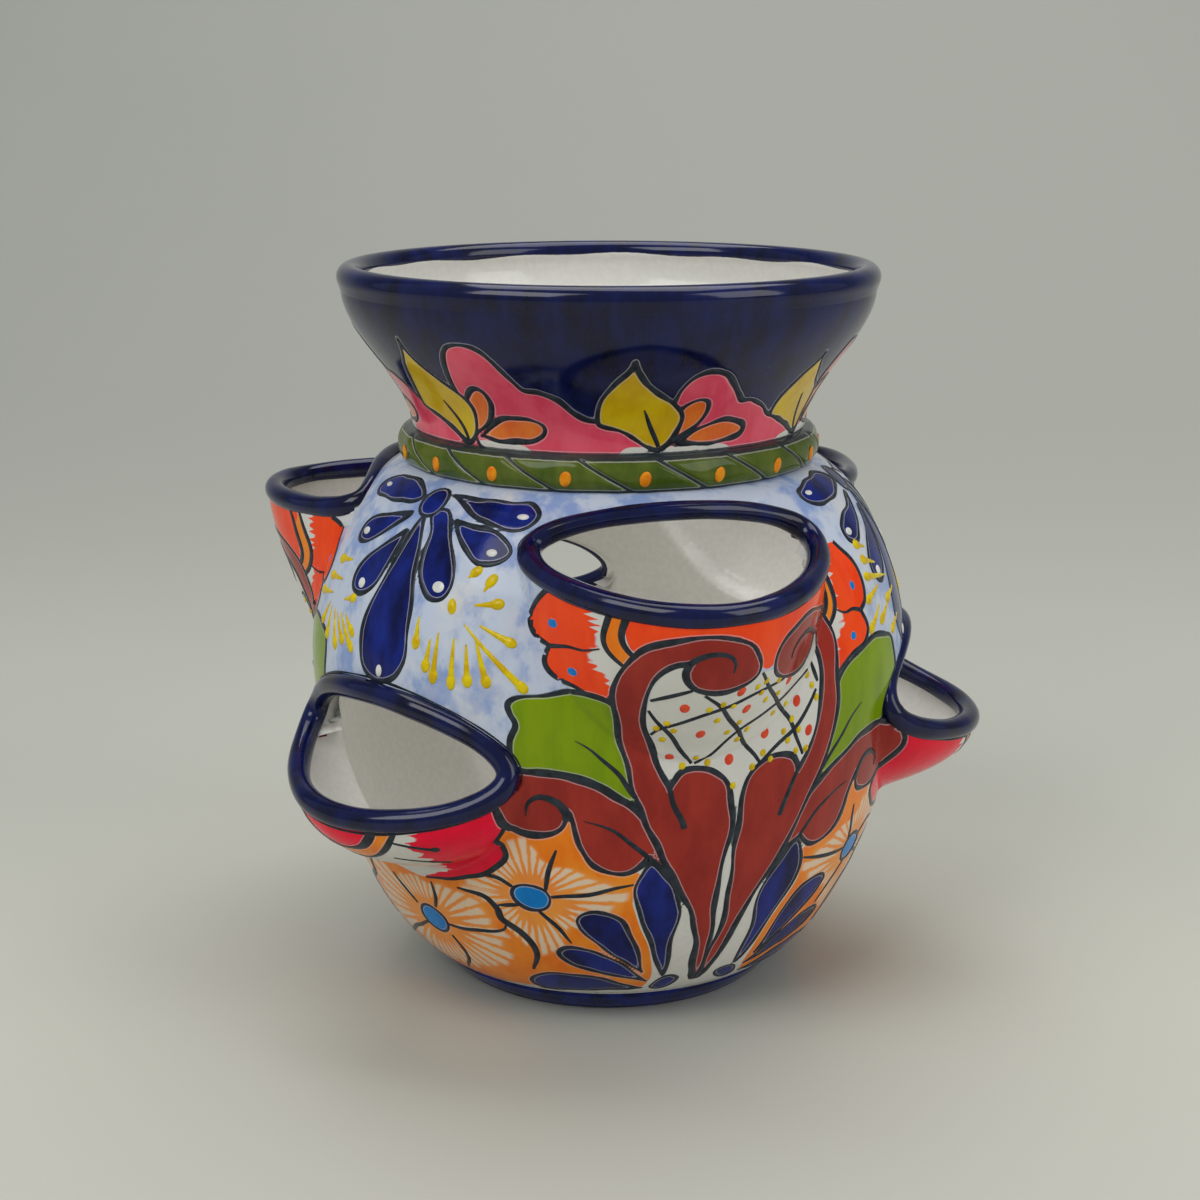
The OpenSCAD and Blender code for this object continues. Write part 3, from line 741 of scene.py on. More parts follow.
def paint_body(canvas):
    """Everything on the body and on the pockets' walls."""
    fields, z = canvas.fields, canvas.z
    fields["wash"][:] = s_step((z - 104) / 14)
    for middle in GROUP_A:
        for mirror in (False, True):
            canvas.fill("orange", middle, MEADOW, None, mirror)
    for k, middle in enumerate(PLUMES):
        for outline, _, _ in PLUME:
            canvas.fill("cobalt", middle, outline, 0.85)
        spot(canvas, "cobalt", middle, (0, 199.3), PLUME_HEART, 0.85)
        paint_low_bib(canvas, k)
    for k, middle in enumerate(GROUP_A):
        paint_group_a(canvas, middle, 10 + 10 * k)
    turns = np.arange(0, 360, 3)
    for p, thin in zip(POCKETS, LIP_THINS):
        loop = closed_up(mouth_loop(p, -LIP_ROLL_R * slimming(turns, thin) - 1.0))
        canvas.lines.add(p["azimuth"], loop, on_surface(p["azimuth"] + loop[:, 0], loop[:, 1]),
                         lambda t, a, z: 0.45 * line_width(a, z))
    # The blue foot and the line over it
    fields["ink"][:] = np.minimum(fields["ink"], np.abs(z - 12.4) - 0.35)
    canvas.lay("cobalt", np.arange(len(z)), z - 11.2)


COLLAR_TURNS = [-138.0, -83.0, -32.0, 18.8, 69.6, 120.4, 171.2]
COLLAR_TALL = [1.1, 1.0, 0.94, 1.0, 1.04, 0.97, 1.0]
COLLAR_BUDS = [1.0, 0.76, 0.9, 1.0, 0.85, 0.95, 1.0]
BUD_LEAF = [(-2, 254.5), (-2, 254.5), (-0.8, 250.3), (3.5, 243.3), (8.5, 238.3), (11.2, 233.7),
    (11.3, 229.5), (9.5, 223.7), (6.5, 220), (3.5, 221.2), (0, 224.5), (-4, 227.3), (-8.5, 229.5),
    (-10, 231.5), (-9.2, 237.8), (-6.2, 245), (-3.2, 250.3)]
BUD_RIB = [(1.5, 235.7), (3.5, 230.3), (6.2, 221.2)]
BUD_PINK = [(6, 221), (8.6, 234.5), (8.8, 244.5), (9.8, 252), (12, 257), (15.5, 258.7), (19.5, 257.3),
    (23, 252), (25.5, 246.2), (27.4, 243), (31, 242.7), (35.5, 239.5), (39.5, 234.4), (43, 232), (50, 230),
    (58, 225), (61, 220), (61, 216), (6, 216)]
BUD_FOOT = [(-5, 216), (-4.4, 219.6), (-1, 221.4), (6, 221.6), (15, 222), (24, 221), (27.5, 218.6),
    (28, 216)]
BUD_DROPS = [[(9.6, 224), (9.6, 224), (9, 231), (10.8, 238), (14, 241.6), (17, 240.6), (17.9, 236),
    (16, 230.5), (12.6, 226.6)],
    [(11.8, 223.6), (11.8, 223.6), (16, 228.4), (21, 231), (26.5, 231.2), (30.6, 228.8), (30.4, 225),
    (26, 222.6), (18, 222.4)]]


def paint_collar(canvas):
    """Leaves, buds and drops on a cobalt ground."""
    count = len(canvas.z)
    canvas.lay("navy", np.arange(count), np.full(count, -FAR))
    foot = FLARE_LOW + 0.5

    def stretched(points, tall):
        return [(u, foot + (z - foot) * tall) for u, z in points]

    for middle, tall in zip(COLLAR_TURNS, COLLAR_BUDS):
        canvas.fill("pink", middle, stretched(BUD_PINK, tall))
        canvas.fill("white", middle, BUD_FOOT, None)
        for outline in BUD_DROPS:
            canvas.fill("amber", middle, stretched(outline, 0.5 + tall / 2))
    for middle, tall in zip(COLLAR_TURNS, COLLAR_TALL):
        canvas.fill("yellow", middle, stretched(BUD_LEAF, tall))
        canvas.stroke(middle, BUD_RIB, (0.3, 0.9, 0.8))
    dark = canvas.fields["ink"]
    dark[:] = np.minimum(dark, canvas.z - FLARE_LOW - 0.6)


# ---- Meshes -----------------------------------------------------------------


def as_mesh(name, points, faces, material, fields=None, normals=None):
    """A smooth mesh object from points in millimetres."""
    mesh = bpy.data.meshes.new(name)
    faces = faces.tolist() if isinstance(faces, np.ndarray) else faces
    mesh.from_pydata(np.asarray(points, float) * MM, [], faces)
    for key, values in (fields or {}).items():
        mesh.attributes.new(key, "FLOAT", "POINT").data.foreach_set(
            "value", np.asarray(values, np.float32))
    mesh.shade_smooth()
    mesh.update()
    if normals is not None:
        mesh.normals_split_custom_set_from_vertices(normals)
    mesh.materials.append(material)
    return placed(name, mesh)


def placed(name, data):
    """An object of the scene that shows a mesh, a light or a camera."""
    obj = bpy.data.objects.new(name, data)
    bpy.context.scene.collection.objects.link(obj)
    return obj


def dress(obj, node=None):
    """Gives a piece its body, and hides the node that it replaces, if any."""
    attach(obj, "root")
    if node:
        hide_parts(node)


def round_grid(z, steps):
    """Azimuth and height of the points of a skin that goes round the jar."""
    zz, aa = np.meshgrid(z, np.arange(steps) * 360 / steps, indexing="ij")
    return aa, zz


def grid_faces(rows, columns, inward=False):
    """Quads of a skin of rows by columns points that closes round the jar."""
    row, col = np.meshgrid(np.arange(rows - 1), np.arange(columns), indexing="ij")
    near, far = row * columns, (row + 1) * columns
    after = (col + 1) % columns
    quads = np.stack([near + col, near + after, far + after, far + col], -1)
    return (quads[..., ::-1] if inward else quads).reshape(-1, 4)


def skin(grid, inward=False):
    """Points, faces and normals of a grid's outside, or of its inside."""
    around = np.roll(grid, -1, 1) - np.roll(grid, 1, 1)
    normals = unit(np.cross(around, np.gradient(grid, axis=0))).reshape(-1, 3)
    return (grid.reshape(-1, 3), grid_faces(*grid.shape[:2], inward),
            -normals if inward else normals)


def rows_by_length(profile, low, high, rows):
    """Heights that stand evenly along a profile's curve."""
    z = np.linspace(low, high, 400)
    run = np.concatenate([[0], np.cumsum(np.hypot(np.diff(z), np.diff(profile(z))))])
    return np.interp(np.linspace(0, run[-1], rows), run, z)


def build_body(material):
    """The body and the pockets' walls as two skins, each cut up into its pieces."""
    aa, zz = round_grid(rows_by_length(body_r, BASE_H, NECK_Z, BODY_ROWS), TURN_STEPS)
    radius, owner = with_pockets(aa, zz, body_r(zz), -POCKET_WALL / 2)
    grid = ring_points(aa, zz, radius)
    canvas = Canvas(aa, zz, grid)
    paint_body(canvas)
    cut_up(skin(grid), canvas.fields, aa, zz, owner, "", OUTER_CUT, outer_r, material)
    build_lines("ink_lines", canvas)

    aa, zz = round_grid(rows_by_length(body_r, BASE_H, NECK_Z + 6, INNER_ROWS), INNER_STEPS)
    radius, owner = with_pockets(aa, zz, inner_base(zz), POCKET_WALL / 2)
    cut_up(skin(ring_points(aa, zz, radius), inward=True), blank(aa.size), aa, zz, owner,
           "_inside", INNER_CUT, inner_r, material)


def build_lines(name, canvas):
    """The raised dark lines of a canvas."""
    points, faces = canvas.lines.strips()
    used, index = np.unique(faces, return_inverse=True)
    dress(as_mesh(name, points[used], index.reshape(faces.shape),
                  enamel_material(name, INK, INK_DEEP, 0.22)))


def cut_up(whole, fields, aa, zz, owner, suffix, inset, radius_at, material):
    """Makes a piece of each node's share of a skin. Faces inside a mouth are left out,
    and those that cross its edge are drawn back to it."""
    points, faces, normals = whole
    aa, zz = aa.ravel(), zz.ravel()
    mouth_of = in_mouths(aa, zz, inset)
    faces = faces[(mouth_of[faces] >= 0).sum(1) < 4]
    for k, p in enumerate(POCKETS):
        mine = np.intersect1d(np.nonzero(mouth_of == k)[0], faces)
        edge = mouth_loop(p, inset, 0.5)
        u = wrapped(aa[mine] - p["azimuth"])
        gaps = np.hypot((u[:, None] - edge[:, 0]) * 2, zz[mine][:, None] - edge[:, 1])
        u, z = edge[gaps.argmin(1)].T
        azimuth = p["azimuth"] + u
        points[mine] = ring_points(azimuth, z, radius_at(wrapped(azimuth), z))
    share = owner.ravel()[faces].max(1)
    for k, node in enumerate(["jar_body"] + NODES):
        mine = faces[share == k - 1]
        if len(mine):
            used, index = np.unique(mine, return_inverse=True)
            obj = as_mesh(node + "_glaze" + suffix, points[used], index.reshape(mine.shape),
                          material, {key: values[used] for key, values in fields.items()},
                          normals[used])
            dress(obj, node)


def build_throats(material):
    """The cut edges of the body's wall above each pocket's mouth."""
    turns = np.arange(-24, 205, 3)
    n = len(turns)
    faces = [(i, i + 1, n + i + 1, n + i) for i in range(n - 1)]
    for k, p in enumerate(POCKETS):
        rim = mouth_points(p, turns, 2.0)
        depth = np.hypot(rim[:, 0], rim[:, 1]) - (body_r(rim[:, 2]) - WALL - 1)
        back = rim - np.maximum(depth, 1)[:, None] * (1, 0, 0)
        points = to_jar(p, np.vstack([rim, back]))
        dress(as_mesh(f"mouth_edge_{k + 1}", points, faces, material, blank(2 * n)))


def build_lip(k, material):
    """The roll of clay along a mouth, thicker here and thinner there."""
    steps, sides = 220 // COARSE, 20
    turns = np.arange(steps) * 360 / steps
    middle = to_jar(POCKETS[k], mouth_points(POCKETS[k], turns))
    along = unit(np.roll(middle, -1, 0) - np.roll(middle, 1, 0))
    out = unit(middle * (1, 1, 0))
    out = unit(out - along * (out * along).sum(1, keepdims=True))
    over = np.cross(along, out)
    a = np.radians(turns)
    thick = LIP_ROLL_R * (0.985 + 0.03 * np.sin(5 * a + k) - 0.03 * np.cos(9 * a + 2 * k))
    thick = np.minimum(thick, LIP_ROLL_R) * slimming(turns, LIP_THINS[k])
    t = (np.arange(sides) * 2 * math.pi / sides)[None, :, None]
    ring = np.cos(t) * out[:, None] + np.sin(t) * over[:, None]
    points = (middle[:, None] + thick[:, None, None] * ring).reshape(-1, 3)
    i, j = np.meshgrid(np.arange(steps), np.arange(sides), indexing="ij")
    ahead, beside = (i + 1) % steps, (j + 1) % sides
    faces = np.stack([i * sides + j, ahead * sides + j, ahead * sides + beside,
                      i * sides + beside], -1).reshape(-1, 4)
    node = NODES[k].replace("pocket", "lip")
    fields = blank(len(points), navy=np.full(len(points), -FAR))
    dress(as_mesh(node + "_roll", points, faces, material, fields), node)


def build_collar(material):
    """The collar: a painted outside, and a white inside."""
    aa, zz = round_grid(np.linspace(FLARE_LOW - 7, FLARE_HIGH, COLLAR_ROWS), TURN_STEPS)
    grid = ring_points(aa, zz, collar_r(zz))
    canvas = Canvas(aa, zz, grid)
    paint_collar(canvas)
    points, faces, normals = skin(grid)
    dress(as_mesh("collar_glaze", points, faces, material, canvas.fields, normals),
          "collar")
    build_lines("collar_lines", canvas)
    points, faces, normals = skin(ring_points(aa, zz, collar_r(zz) - WALL), inward=True)
    dress(as_mesh("collar_glaze_inside", points, faces, material, blank(aa.size), normals),
          "collar")


def lathe(name, profile, fields, material, node):
    """A turned piece in blue glaze. profile is a list of (radius, height)."""
    r, z = np.array(profile, float).T
    aa, zz = round_grid(z, TURN_STEPS // 2)
    rr = np.broadcast_to(r[:, None], aa.shape)
    points = ring_points(aa, zz, rr).reshape(-1, 3)
    dress(as_mesh(name, points, grid_faces(*aa.shape), material,
                  fields(aa.ravel(), rr.ravel(), zz.ravel())), node)


def build_rim(material):
    """The rolled rim, glazed blue, which runs softly into both sides of the collar."""
    middle = RIM_TOP - RIM_ROLL_R
    first, last = -math.radians(28), math.pi + math.radians(28)
    foot_r = float(collar_r(FLARE_HIGH - RIM_BLEND))

    def on_roll(turn):
        return np.array([RIM_R + RIM_ROLL_R * math.cos(turn), middle + RIM_ROLL_R * math.sin(turn)])

    def side(turn, r, sign):
        """A soft curve from the collar's skin up to the roll, on one side of it."""
        end = on_roll(turn)
        bend = end - (sign * 0.3 * RIM_ROLL_R, 0.9 * RIM_ROLL_R)
        start = np.array([r, FLARE_HIGH - RIM_BLEND])
        t = np.linspace(0, 1, 10)[:-1, None]
        return (1 - t) ** 2 * start + 2 * t * (1 - t) * bend + t * t * end

    profile = np.vstack([side(first, foot_r - 0.1, 1), *map(on_roll, np.linspace(first, last, 26)),
                         side(last, foot_r - WALL + 0.1, -1)[::-1]])

    def fields(a, r, z):
        turn = np.radians(a)
        edge = middle - 0.6 + 0.5 * np.sin(5 * turn) + 0.4 * np.sin(13 * turn + 1)
        return blank(len(a), navy=np.where(r < RIM_R, edge - z, -FAR))

    lathe("mouth_rim_roll", profile, fields, material, "mouth_rim")


def build_base(material):
    """The base disc: a blue band, a white floor inside and bare clay below."""
    top_r = float(body_r(BASE_H))
    soft = 1.2
    profile = [(DRAIN_R, BASE_H), (DRAIN_R, 0), (DRAIN_R, 0), (FOOT_R * 0.5, 0),
               (FOOT_R - soft, 0), (FOOT_R - 0.3 * soft, 0.3), (FOOT_R + 0.3, 1.2)]
    profile += [(FOOT_R + (top_r - FOOT_R) * t, BASE_H * t) for t in (0.25, 0.5, 0.75, 1)]
    profile += [(top_r - WALL, BASE_H), (DRAIN_R, BASE_H)]

    def fields(a, r, z):
        outside = (r > FOOT_R + (top_r - FOOT_R) * z / BASE_H - 1) & (z > 0.2)
        below = (z < 0.2) | (r < DRAIN_R + 0.1)
        return blank(len(a), cobalt=np.where(outside, -FAR, FAR), clay=np.where(below, -FAR, FAR))

    lathe("base_disc_glaze", profile, fields, material, "base_disc")


def rope_surface(azimuth, z):
    """Points on the rope, between its lines."""
    up = (z - (ROPE_LOW + ROPE_HIGH) / 2) / ((ROPE_HIGH - ROPE_LOW) / 2)
    return ring_points(azimuth, z, NECK_R + ROPE_OUT * swell(np.abs(up), 2))


def build_rope(material):
    """The rope of clay: leaning strands with dark lines between and a dot on each."""
    turn, up = round_grid(np.linspace(-1, 1, 28 // COARSE), 720 // COARSE)
    strand = (turn - ROPE_TURN) * ROPE_STRANDS / 360 + ROPE_LEAN * up
    off = np.abs(strand - np.round(strand))
    valley = 1.3 * np.exp(-(off / 0.07) ** 2) * (1 - up ** 4)
    r = NECK_R + ROPE_OUT * swell(np.abs(up), 2) - valley + 0.25 * np.cos(2 * math.pi * off)
    z = (ROPE_LOW + ROPE_HIGH) / 2 + (ROPE_HIGH - ROPE_LOW) / 2 * up
    points, faces, normals = skin(ring_points(turn, z, np.minimum(r, NECK_R + ROPE_OUT)))
    pitch = 2 * math.pi * (NECK_R + ROPE_OUT) / ROPE_STRANDS
    line = off * pitch * 0.86 - 0.8
    edge = (1 - np.abs(up)) * 7 - 1.6
    fields = blank(turn.size, olive=np.full(turn.size, -FAR), ink=np.minimum(line, edge).ravel())
    dress(as_mesh("rope_band_clay", points, faces, material, fields, normals),
          "rope_band")


# ---- Raised enamel ----------------------------------------------------------

ENAMEL_SUNK = 0.25
TAIL_SUNK = 0.12
DOME_SIDES = 16
DOME_RINGS = 5
TAIL_STEPS = 9


class Enamel:
    """Blobs of one raised colour, gathered into one mesh."""

    def __init__(self):
        self.points, self.faces, self.count = [], [], 0

    def put(self, points, faces):
        self.points.append(points)
        self.faces += [tuple(self.count + i for i in face) for face in faces]
        self.count += len(points)

    def blob(self, azimuth, z, wide, tall, high, surface=on_surface, tilt=0.0):
        """An oval dome of enamel on the surface."""
        place = surface_frame(np.array([azimuth]), np.array([z]), surface)
        here, round_, up, out = (v[0] for v in place)
        c, s = math.cos(math.radians(tilt)), math.sin(math.radians(tilt))
        t = np.radians(90 * np.arange(DOME_RINGS) / (DOME_RINGS - 0.6)).repeat(DOME_SIDES)
        a = np.tile(2 * math.pi * np.arange(DOME_SIDES) / DOME_SIDES, DOME_RINGS)
        dome = np.stack([np.cos(t) * np.cos(a), np.cos(t) * np.sin(a), np.sin(t)], 1)
        dome = np.vstack([dome, (0, 0, 1)])
        axes = ((round_ * c + up * s) * wide, (up * c - round_ * s) * tall, out * high)
        around = grid_faces(DOME_RINGS, DOME_SIDES).tolist()
        last, tip = (DOME_RINGS - 1) * DOME_SIDES, DOME_RINGS * DOME_SIDES
        cap = [(last + j, last + (j + 1) % DOME_SIDES, tip) for j in range(DOME_SIDES)]
        self.put(here - out * ENAMEL_SUNK + dome @ axes, around + cap)

    def tail(self, azimuth0, z0, azimuth1, z1, thin, thick, high):
        """A thread of enamel that thickens towards its head."""
        t = np.linspace(0, 1, TAIL_STEPS)
        here, round_, up, out = surface_frame(azimuth0 + (azimuth1 - azimuth0) * t,
                                              z0 + (z1 - z0) * t)
        t = t[:, None]
        scale = math.radians(1) * np.linalg.norm(here[:, :2], axis=1, keepdims=True)
        along = unit(round_ * (azimuth1 - azimuth0) * scale + up * (z1 - z0))
        aside = np.cross(out, along) * (thin + (thick - thin) * t)
        rows = [here + aside * math.cos(a) + out * (high * (0.4 + 0.6 * t) * math.sin(a) - TAIL_SUNK)
                for a in np.arange(5) * math.pi / 4]
        self.put(np.stack(rows, 1).reshape(-1, 3),
                 [(i, i + 5, i + 6, i + 1) for k in range(TAIL_STEPS - 1)
                  for i in range(5 * k, 5 * k + 4)])

    def finish(self, name, colour, deeper, slot="painted_glaze"):
        dress(as_mesh(name, np.vstack(self.points), self.faces,
                      enamel_material(name, colour, deeper)))


def build_enamel():
    """All raised dots, threads and drops of enamel."""
    rng = np.random.default_rng(5)
    yellow, white, red, orange, dark = (Enamel() for _ in range(5))
    for middle, sprays in zip(PLUMES, PLUME_SPRAYS):
        for spray, spread in sprays:
            for a0, z0, a1, z1 in spray:
                a0, a1 = middle + a0 * spread, middle + a1 * spread
                if in_mouths(wrapped(np.array([a0, a1])), np.array([z0, z1]), -8.0).max() >= 0:
                    continue
                yellow.tail(a0, z0, a1, z1, 0.45, 1.5, 0.8)
                tilt = math.atan2(-math.radians(a1 - a0) * BELLY_R, z1 - z0)
                yellow.blob(a1, z1, rng.uniform(1.9, 2.2), rng.uniform(2.6, 3.2), 1.0,
                            tilt=math.degrees(tilt))
        for _, (a, z), (wide, tall) in PLUME:
            white.blob(middle + a, z, wide * 1.6, tall * 1.1, 0.7)
    for middle in GROUP_A:
        for a, z in LATTICE_DOTS:
            yellow.blob(middle + a, z, rng.uniform(1.2, 1.4), rng.uniform(1.4, 1.6), 0.8)
        for a, z in LATTICE_SPOTS:
            red.blob(middle + a, z, 1.9, 2.4, 0.6)
    for k, middle in enumerate(BIBS):
        for (u, z), _, size in low_dots(k):
            for a in (middle + u, middle - u):
                dark.blob(a, z + LOWER_RISES[k], size, size, 0.5)
    for k in range(ROPE_STRANDS):
        orange.blob(ROPE_TURN + (k + 0.5) * 360 / ROPE_STRANDS, 211.0, 2.1, 2.9, 0.7,
                    surface=rope_surface, tilt=-12)
    yellow.finish("yellow_enamel", (224, 200, 16), (206, 170, 6))
    white.finish("white_enamel", (232, 232, 226), (214, 214, 208))
    red.finish("red_enamel", (232, 84, 50), (214, 60, 34))
    orange.finish("orange_enamel", (246, 158, 24), (232, 128, 10), "olive_glaze")
    dark.finish("dark_enamel", INK, INK_DEEP)


# ---- Materials --------------------------------------------------------------

# Each paint as it is seen, from 0 to 255, where it is thin and where it is thick
COLOURS = {
    "white": ((222, 220, 212), (216, 214, 207)), "coral": ((255, 82, 24), (246, 64, 14)),
    "crimson": ((248, 0, 58), (232, 0, 44)), "pink": ((240, 88, 112), (228, 62, 90)),
    "lime": ((132, 158, 0), (114, 144, 0)), "brown": ((164, 50, 38), (142, 38, 30)),
    "orange": ((246, 146, 34), (240, 118, 12)), "amber": ((242, 126, 34), (232, 98, 14)),
    "yellow": ((226, 192, 0), (210, 166, 0)), "olive": ((96, 110, 40), (68, 88, 26)),
    "cobalt": ((22, 40, 128), (9, 15, 60)), "navy": ((14, 24, 78), (6, 9, 36)),
    "sky": ((0, 136, 214), (0, 112, 190)), "clay": ((176, 112, 76), (152, 90, 58))}
INK = (46, 54, 62)
INK_DEEP = (30, 36, 44)
RAY = (232, 216, 190)
PETAL_PALE = (244, 176, 96)
LINE_PALE = (214, 208, 214)
WASH_PALE = (194, 204, 222)
WASH_BLUE = (134, 158, 208)
SHINE = 0.2
NAVY_SHINE = 0.36
GLAZE_IOR = 1.5


def linear(colour):
    """A seen colour, 0 to 255, as the renderer's linear one."""
    def one(c):
        c = c / 255
        return c / 12.92 if c <= 0.04045 else ((c + 0.055) / 1.055) ** 2.4
    return (*[one(c) for c in colour], 1.0)


class Nodes:
    """Short ways to add and join a material's nodes."""

    def __init__(self, name):
        self.material = bpy.data.materials.new(name)
        self.material.use_nodes = True
        self.tree = self.material.node_tree
        self.tree.nodes.clear()
        output = self.node("OutputMaterial")
        self.shader = self.node("BsdfPrincipled")
        self.tree.links.new(self.shader.outputs[0], output.inputs[0])
        self.place = self.node("TexCoord").outputs["Object"]

    def node(self, kind, **inputs):
        """A new node. A value or a socket is given for some of its inputs."""
        node = self.tree.nodes.new("ShaderNode" + kind)
        for key, source in inputs.items():
            self.link(source, node.inputs[key.replace("_", " ")])
        return node

    def link(self, source, socket):
        if isinstance(source, bpy.types.NodeSocket):
            self.tree.links.new(source, socket)
        else:
            socket.default_value = source

    def attribute(self, name):
        node = self.node("Attribute")
        node.attribute_name = name
        return node.outputs["Fac"]

    def noise(self, scale, detail=3.0, stretch=(1, 1, 1), rough=0.5):
        mapping = self.node("Mapping", Scale=stretch, Vector=self.place)
        return self.node("TexNoise", Scale=scale, Detail=detail, Roughness=rough,
                         Vector=mapping.outputs[0]).outputs["Fac"]

    def chance(self, number):
        """A number from 0 to 1 that is set by another number."""
        node = self.node("TexWhiteNoise")
        node.noise_dimensions = "1D"
        self.link(number, node.inputs["W"])
        return node.outputs["Value"]

    def ramp(self, value, low, high, first=0.0, last=1.0):
        """The value as it goes from low to high, from first to last, held beyond."""
        node = self.node("MapRange", Value=value, From_Min=low, From_Max=high,
                         To_Min=first, To_Max=last)
        node.interpolation_type = "SMOOTHSTEP"
        return node.outputs["Result"]

    def math(self, kind, a, b=0.0):
        node = self.node("Math")
        node.operation = kind
        self.link(a, node.inputs[0])
        self.link(b, node.inputs[1])
        return node.outputs[0]

    def plus(self, a, b):
        return self.math("ADD", a, b)

    def times(self, a, b):
        return self.math("MULTIPLY", a, b)

    def mix(self, factor, a, b):
        node = self.node("Mix")
        node.data_type = "RGBA"
        for key, source in (("Factor", factor), ("A", a), ("B", b)):
            self.link(source, node.inputs[key])
        return node.outputs["Result"]

    def two_tones(self, value, low, high, thin, thick):
        return self.mix(self.ramp(value, low, high), linear(thin), linear(thick))

    def finish(self, colour, rough, shine, height=None, strength=0.0, far=0.0):
        """Sets the shader, with a relief where a height is given."""
        for key, source in (("Base Color", colour), ("Roughness", rough), ("IOR", GLAZE_IOR),
                            ("Specular IOR Level", shine)):
            self.link(source, self.shader.inputs[key])
        if height is not None:
            relief = self.node("Bump", Strength=strength, Distance=far, Height=height)
            self.link(relief.outputs[0], self.shader.inputs["Normal"])
        return self.material


def petals(n, body, fine):
    """Rays of bare glaze in the petals' paint, which is stronger at their edges."""
    turn = n.plus(n.attribute("ray_turn"), n.times(fine, 0.3))
    out = n.attribute("ray_out")
    ray = n.math("FLOOR", turn)
    first, second = n.chance(ray), n.chance(n.plus(ray, 0.5))
    aside = n.math("ABSOLUTE", n.math("SUBTRACT", n.math("FRACT", turn), 0.5))
    grows = n.ramp(out, n.times(first, 0.3), 0.6)
    ends = n.plus(n.times(second, 0.18), 0.72)
    stops = n.ramp(out, ends, n.plus(ends, 0.1), 1.0, 0.0)
    width = n.plus(n.times(grows, 0.24), 0.07)
    ray = n.ramp(n.math("SUBTRACT", aside, width), -0.1, 0.11, 1.0, 0.0)
    ray = n.times(n.times(ray, stops), n.ramp(grows, 0.0, 0.35))
    body = n.mix(n.ramp(out, 0.78, 1.0), n.mix(0.35, body, linear(PETAL_PALE)), body)
    return n.mix(n.times(ray, 0.86), body, linear(RAY))


def paint_material(name, shine):
    """The painted tin glaze: each paint lies where its field is below zero."""
    n = Nodes(name)
    streaks = n.noise(95, 4, (1, 1, 0.35), 0.6)
    blots = n.noise(28, 5, rough=0.6)
    dabs = n.noise(62, 5, (1, 1, 0.75), 0.62)
    fine = n.noise(420, 2)
    # White tin glaze, with a pale blue wash where the wash field says
    wet = n.times(n.attribute("wash"), n.ramp(blots, 0.22, 0.48))
    colour = n.mix(n.times(wet, 0.95), n.two_tones(fine, 0.3, 0.7, *COLOURS["white"]),
                   n.two_tones(dabs, 0.45, 0.64, WASH_PALE, WASH_BLUE))
    fields = {name: n.attribute(name) for name in PAINTS}
    # A hand-held brush leaves an edge that is not quite straight
    shake = n.times(n.math("SUBTRACT", fine, 0.5), 0.35)
    painted = 0.0
    for name in PAINTS:
        cover = n.ramp(n.plus(fields[name], shake), -0.12, 0.12, 1.0, 0.0)
        body = n.two_tones(streaks, 0.3, 0.72, *COLOURS[name])
        if name == "orange":
            body = petals(n, body, fine)
        colour = n.mix(cover, colour, body)
        if name != "white":
            painted = n.math("MAXIMUM", painted, cover)
    ink = n.plus(n.attribute("ink"), shake)
    # The glaze draws back from the dark line and leaves a thin pale one
    pale = n.times(n.ramp(ink, 0.05, 0.25), n.ramp(ink, 0.3, 0.6, 1.0, 0.0))
    colour = n.mix(n.times(n.times(pale, painted), 0.5), colour, linear(LINE_PALE))
    line, worn = n.ramp(ink, -0.14, 0.1, 1.0, 0.0), n.ramp(streaks, 0.25, 0.7, 0.8, 1.0)
    colour = n.mix(n.times(line, worn), colour, linear(INK))
    bare = n.ramp(fields["clay"], -0.2, 0.2, 1.0, 0.0)
    height = n.plus(n.times(n.ramp(ink, -0.2, 1.2), 0.35), n.times(n.noise(55, 2), 0.9))
    height = n.plus(height, n.times(fine, 0.05))
    return n.finish(colour, n.ramp(bare, 0, 1, 0.12, 0.8), shine, height, 0.35, 0.0006)


def enamel_material(name, colour, deeper, rough=0.16):
    """A drop or a line of raised enamel."""
    n = Nodes(name)
    tone = n.two_tones(n.noise(260), 0.35, 0.65, colour, deeper)
    return n.finish(tone, rough, SHINE, n.noise(350, 2), 0.25, 0.0002)


# ---- Floor, light and camera ------------------------------------------------

CAMERA_PLACE = (-3.3 * MM, -775.0 * MM, 347.0 * MM)
CAMERA_DOWN = 14.53
CAMERA_LENS = 60.0
SWEEP_START = 0.5
SWEEP_BEND = 2.6
SWEEP_FRONT = -3.0
SWEEP_REACH = 6.0
# Paper colours with painted shade: the floor palest, the wall darker, and its left side darker still
FLOOR_COLOUR = (184, 184, 173)
SHADED_WALL_LEFT = (149, 150, 143)
SHADED_WALL_RIGHT = (159, 160, 152)


def sweep_material():
    """Plain paper with painted shade: palest on the floor, darker up the wall and a little darker to the
    left behind.
    """
    n = Nodes("pale_sweep")
    place = n.node("SeparateXYZ", Vector=n.place).outputs
    # Painted shade: the wall is darker than the floor, and darker to the left than to the right
    wall = n.two_tones(place["X"], -0.8, 0.8, SHADED_WALL_LEFT, SHADED_WALL_RIGHT)
    paper = n.mix(n.ramp(place["Y"], -0.1, 1.1), linear(FLOOR_COLOUR), wall)
    mottle = n.ramp(n.noise(2.5, 3), 0.3, 0.7, 0.0, 0.12)
    return n.finish(n.mix(mottle, paper, linear(SHADED_WALL_RIGHT)), 0.6, 0.5)


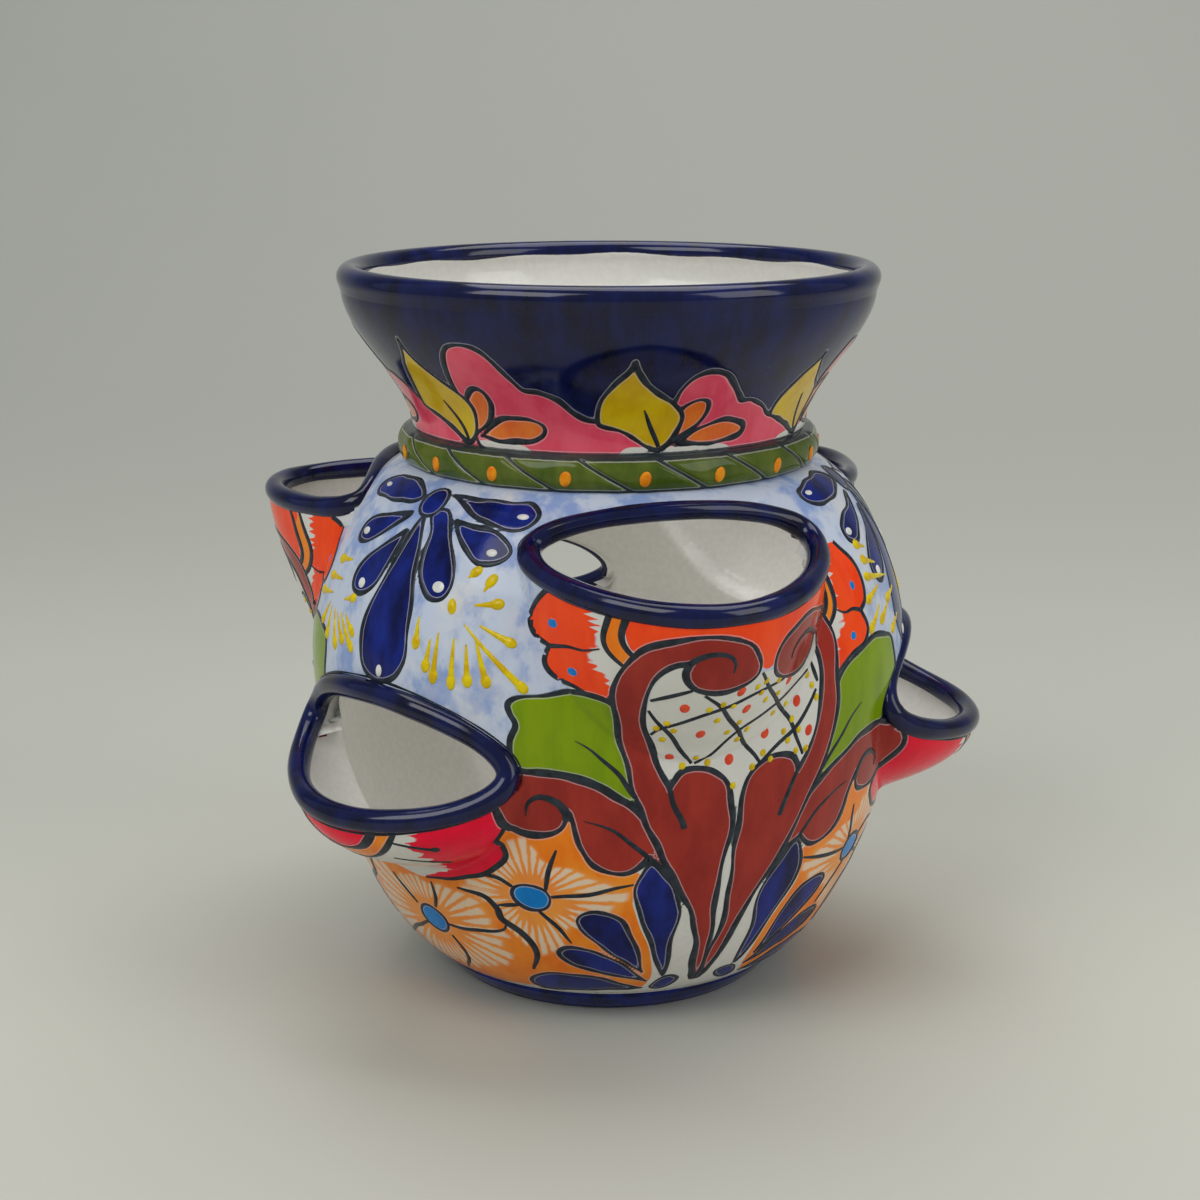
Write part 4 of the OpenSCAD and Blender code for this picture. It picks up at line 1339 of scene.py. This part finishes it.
def build_stage():
    """A pale sweep: a floor that curves gently up into a wall behind the jar."""
    bend = np.radians(range(2, 91, 2))
    y = np.hstack([SWEEP_FRONT, SWEEP_START, SWEEP_START + SWEEP_BEND * np.sin(bend),
                   SWEEP_START + SWEEP_BEND])
    z = np.hstack([0.0, 0.0, SWEEP_BEND * (1 - np.cos(bend)), SWEEP_REACH])
    points = [(x, *at) for at in zip(y, z) for x in (-SWEEP_REACH, SWEEP_REACH)]
    faces = [(k, k + 1, k + 3, k + 2) for k in range(0, len(points) - 2, 2)]
    as_mesh("sweep", np.array(points) / MM, faces, sweep_material())


def area_light(name, place, target, size, power):
    light = bpy.data.lights.new(name, "AREA")
    light.shape = "RECTANGLE"
    light.size, light.size_y = size
    light.energy = power
    obj = placed(name, light)
    obj.location = place
    aim = Vector(target) - Vector(place)
    obj.rotation_euler = aim.to_track_quat("-Z", "Y").to_euler()


def build_lights():
    area_light("key_softbox", (-1.7, -1.8, 2.6), (0, 0, 0.12), (2.1, 1.8), 53)
    area_light("fill_softbox", (2.2, -1.3, 1.5), (0, 0, 0.12), (1.5, 2.0), 26)
    area_light("top_softbox", (0.2, 0.9, 3.2), (0, 0.3, 0.1), (3.2, 2.4), 72)
    inner = bpy.data.lights.new("light_through_the_mouths", "POINT")
    inner.energy = 0.03
    inner.shadow_soft_size = 0.05
    placed("light_through_the_mouths", inner).location = (0, 0, 0.15)
    world = bpy.data.worlds.new("soft_room")
    world.use_nodes = True
    sky = world.node_tree.nodes["Background"].inputs
    sky["Color"].default_value = (0.9, 0.95, 1, 1)
    sky["Strength"].default_value = 0.3
    bpy.context.scene.world = world


def build_camera():
    camera = bpy.data.cameras.new("camera")
    camera.lens = CAMERA_LENS
    camera.sensor_width = 36
    camera.clip_start = 0.05
    camera.clip_end = 30
    obj = placed("camera", camera)
    obj.location = CAMERA_PLACE
    obj.rotation_euler = (math.radians(90 - CAMERA_DOWN), 0, 0)
    bpy.context.scene.camera = obj
    bpy.context.scene.view_settings.view_transform = "Standard"


def build_jar():
    paint = paint_material("painted_tin_glaze", SHINE)
    thick = paint_material("thick_navy_glaze", NAVY_SHINE)
    build_body(paint)
    build_throats(paint)
    for k in (0, 3, 1, 4, 2, 5):
        build_lip(k, thick)
    build_collar(thick)
    build_rim(thick)
    build_base(paint)
    build_rope(paint)
    build_enamel()


build_jar()
build_stage()
build_lights()
build_camera()
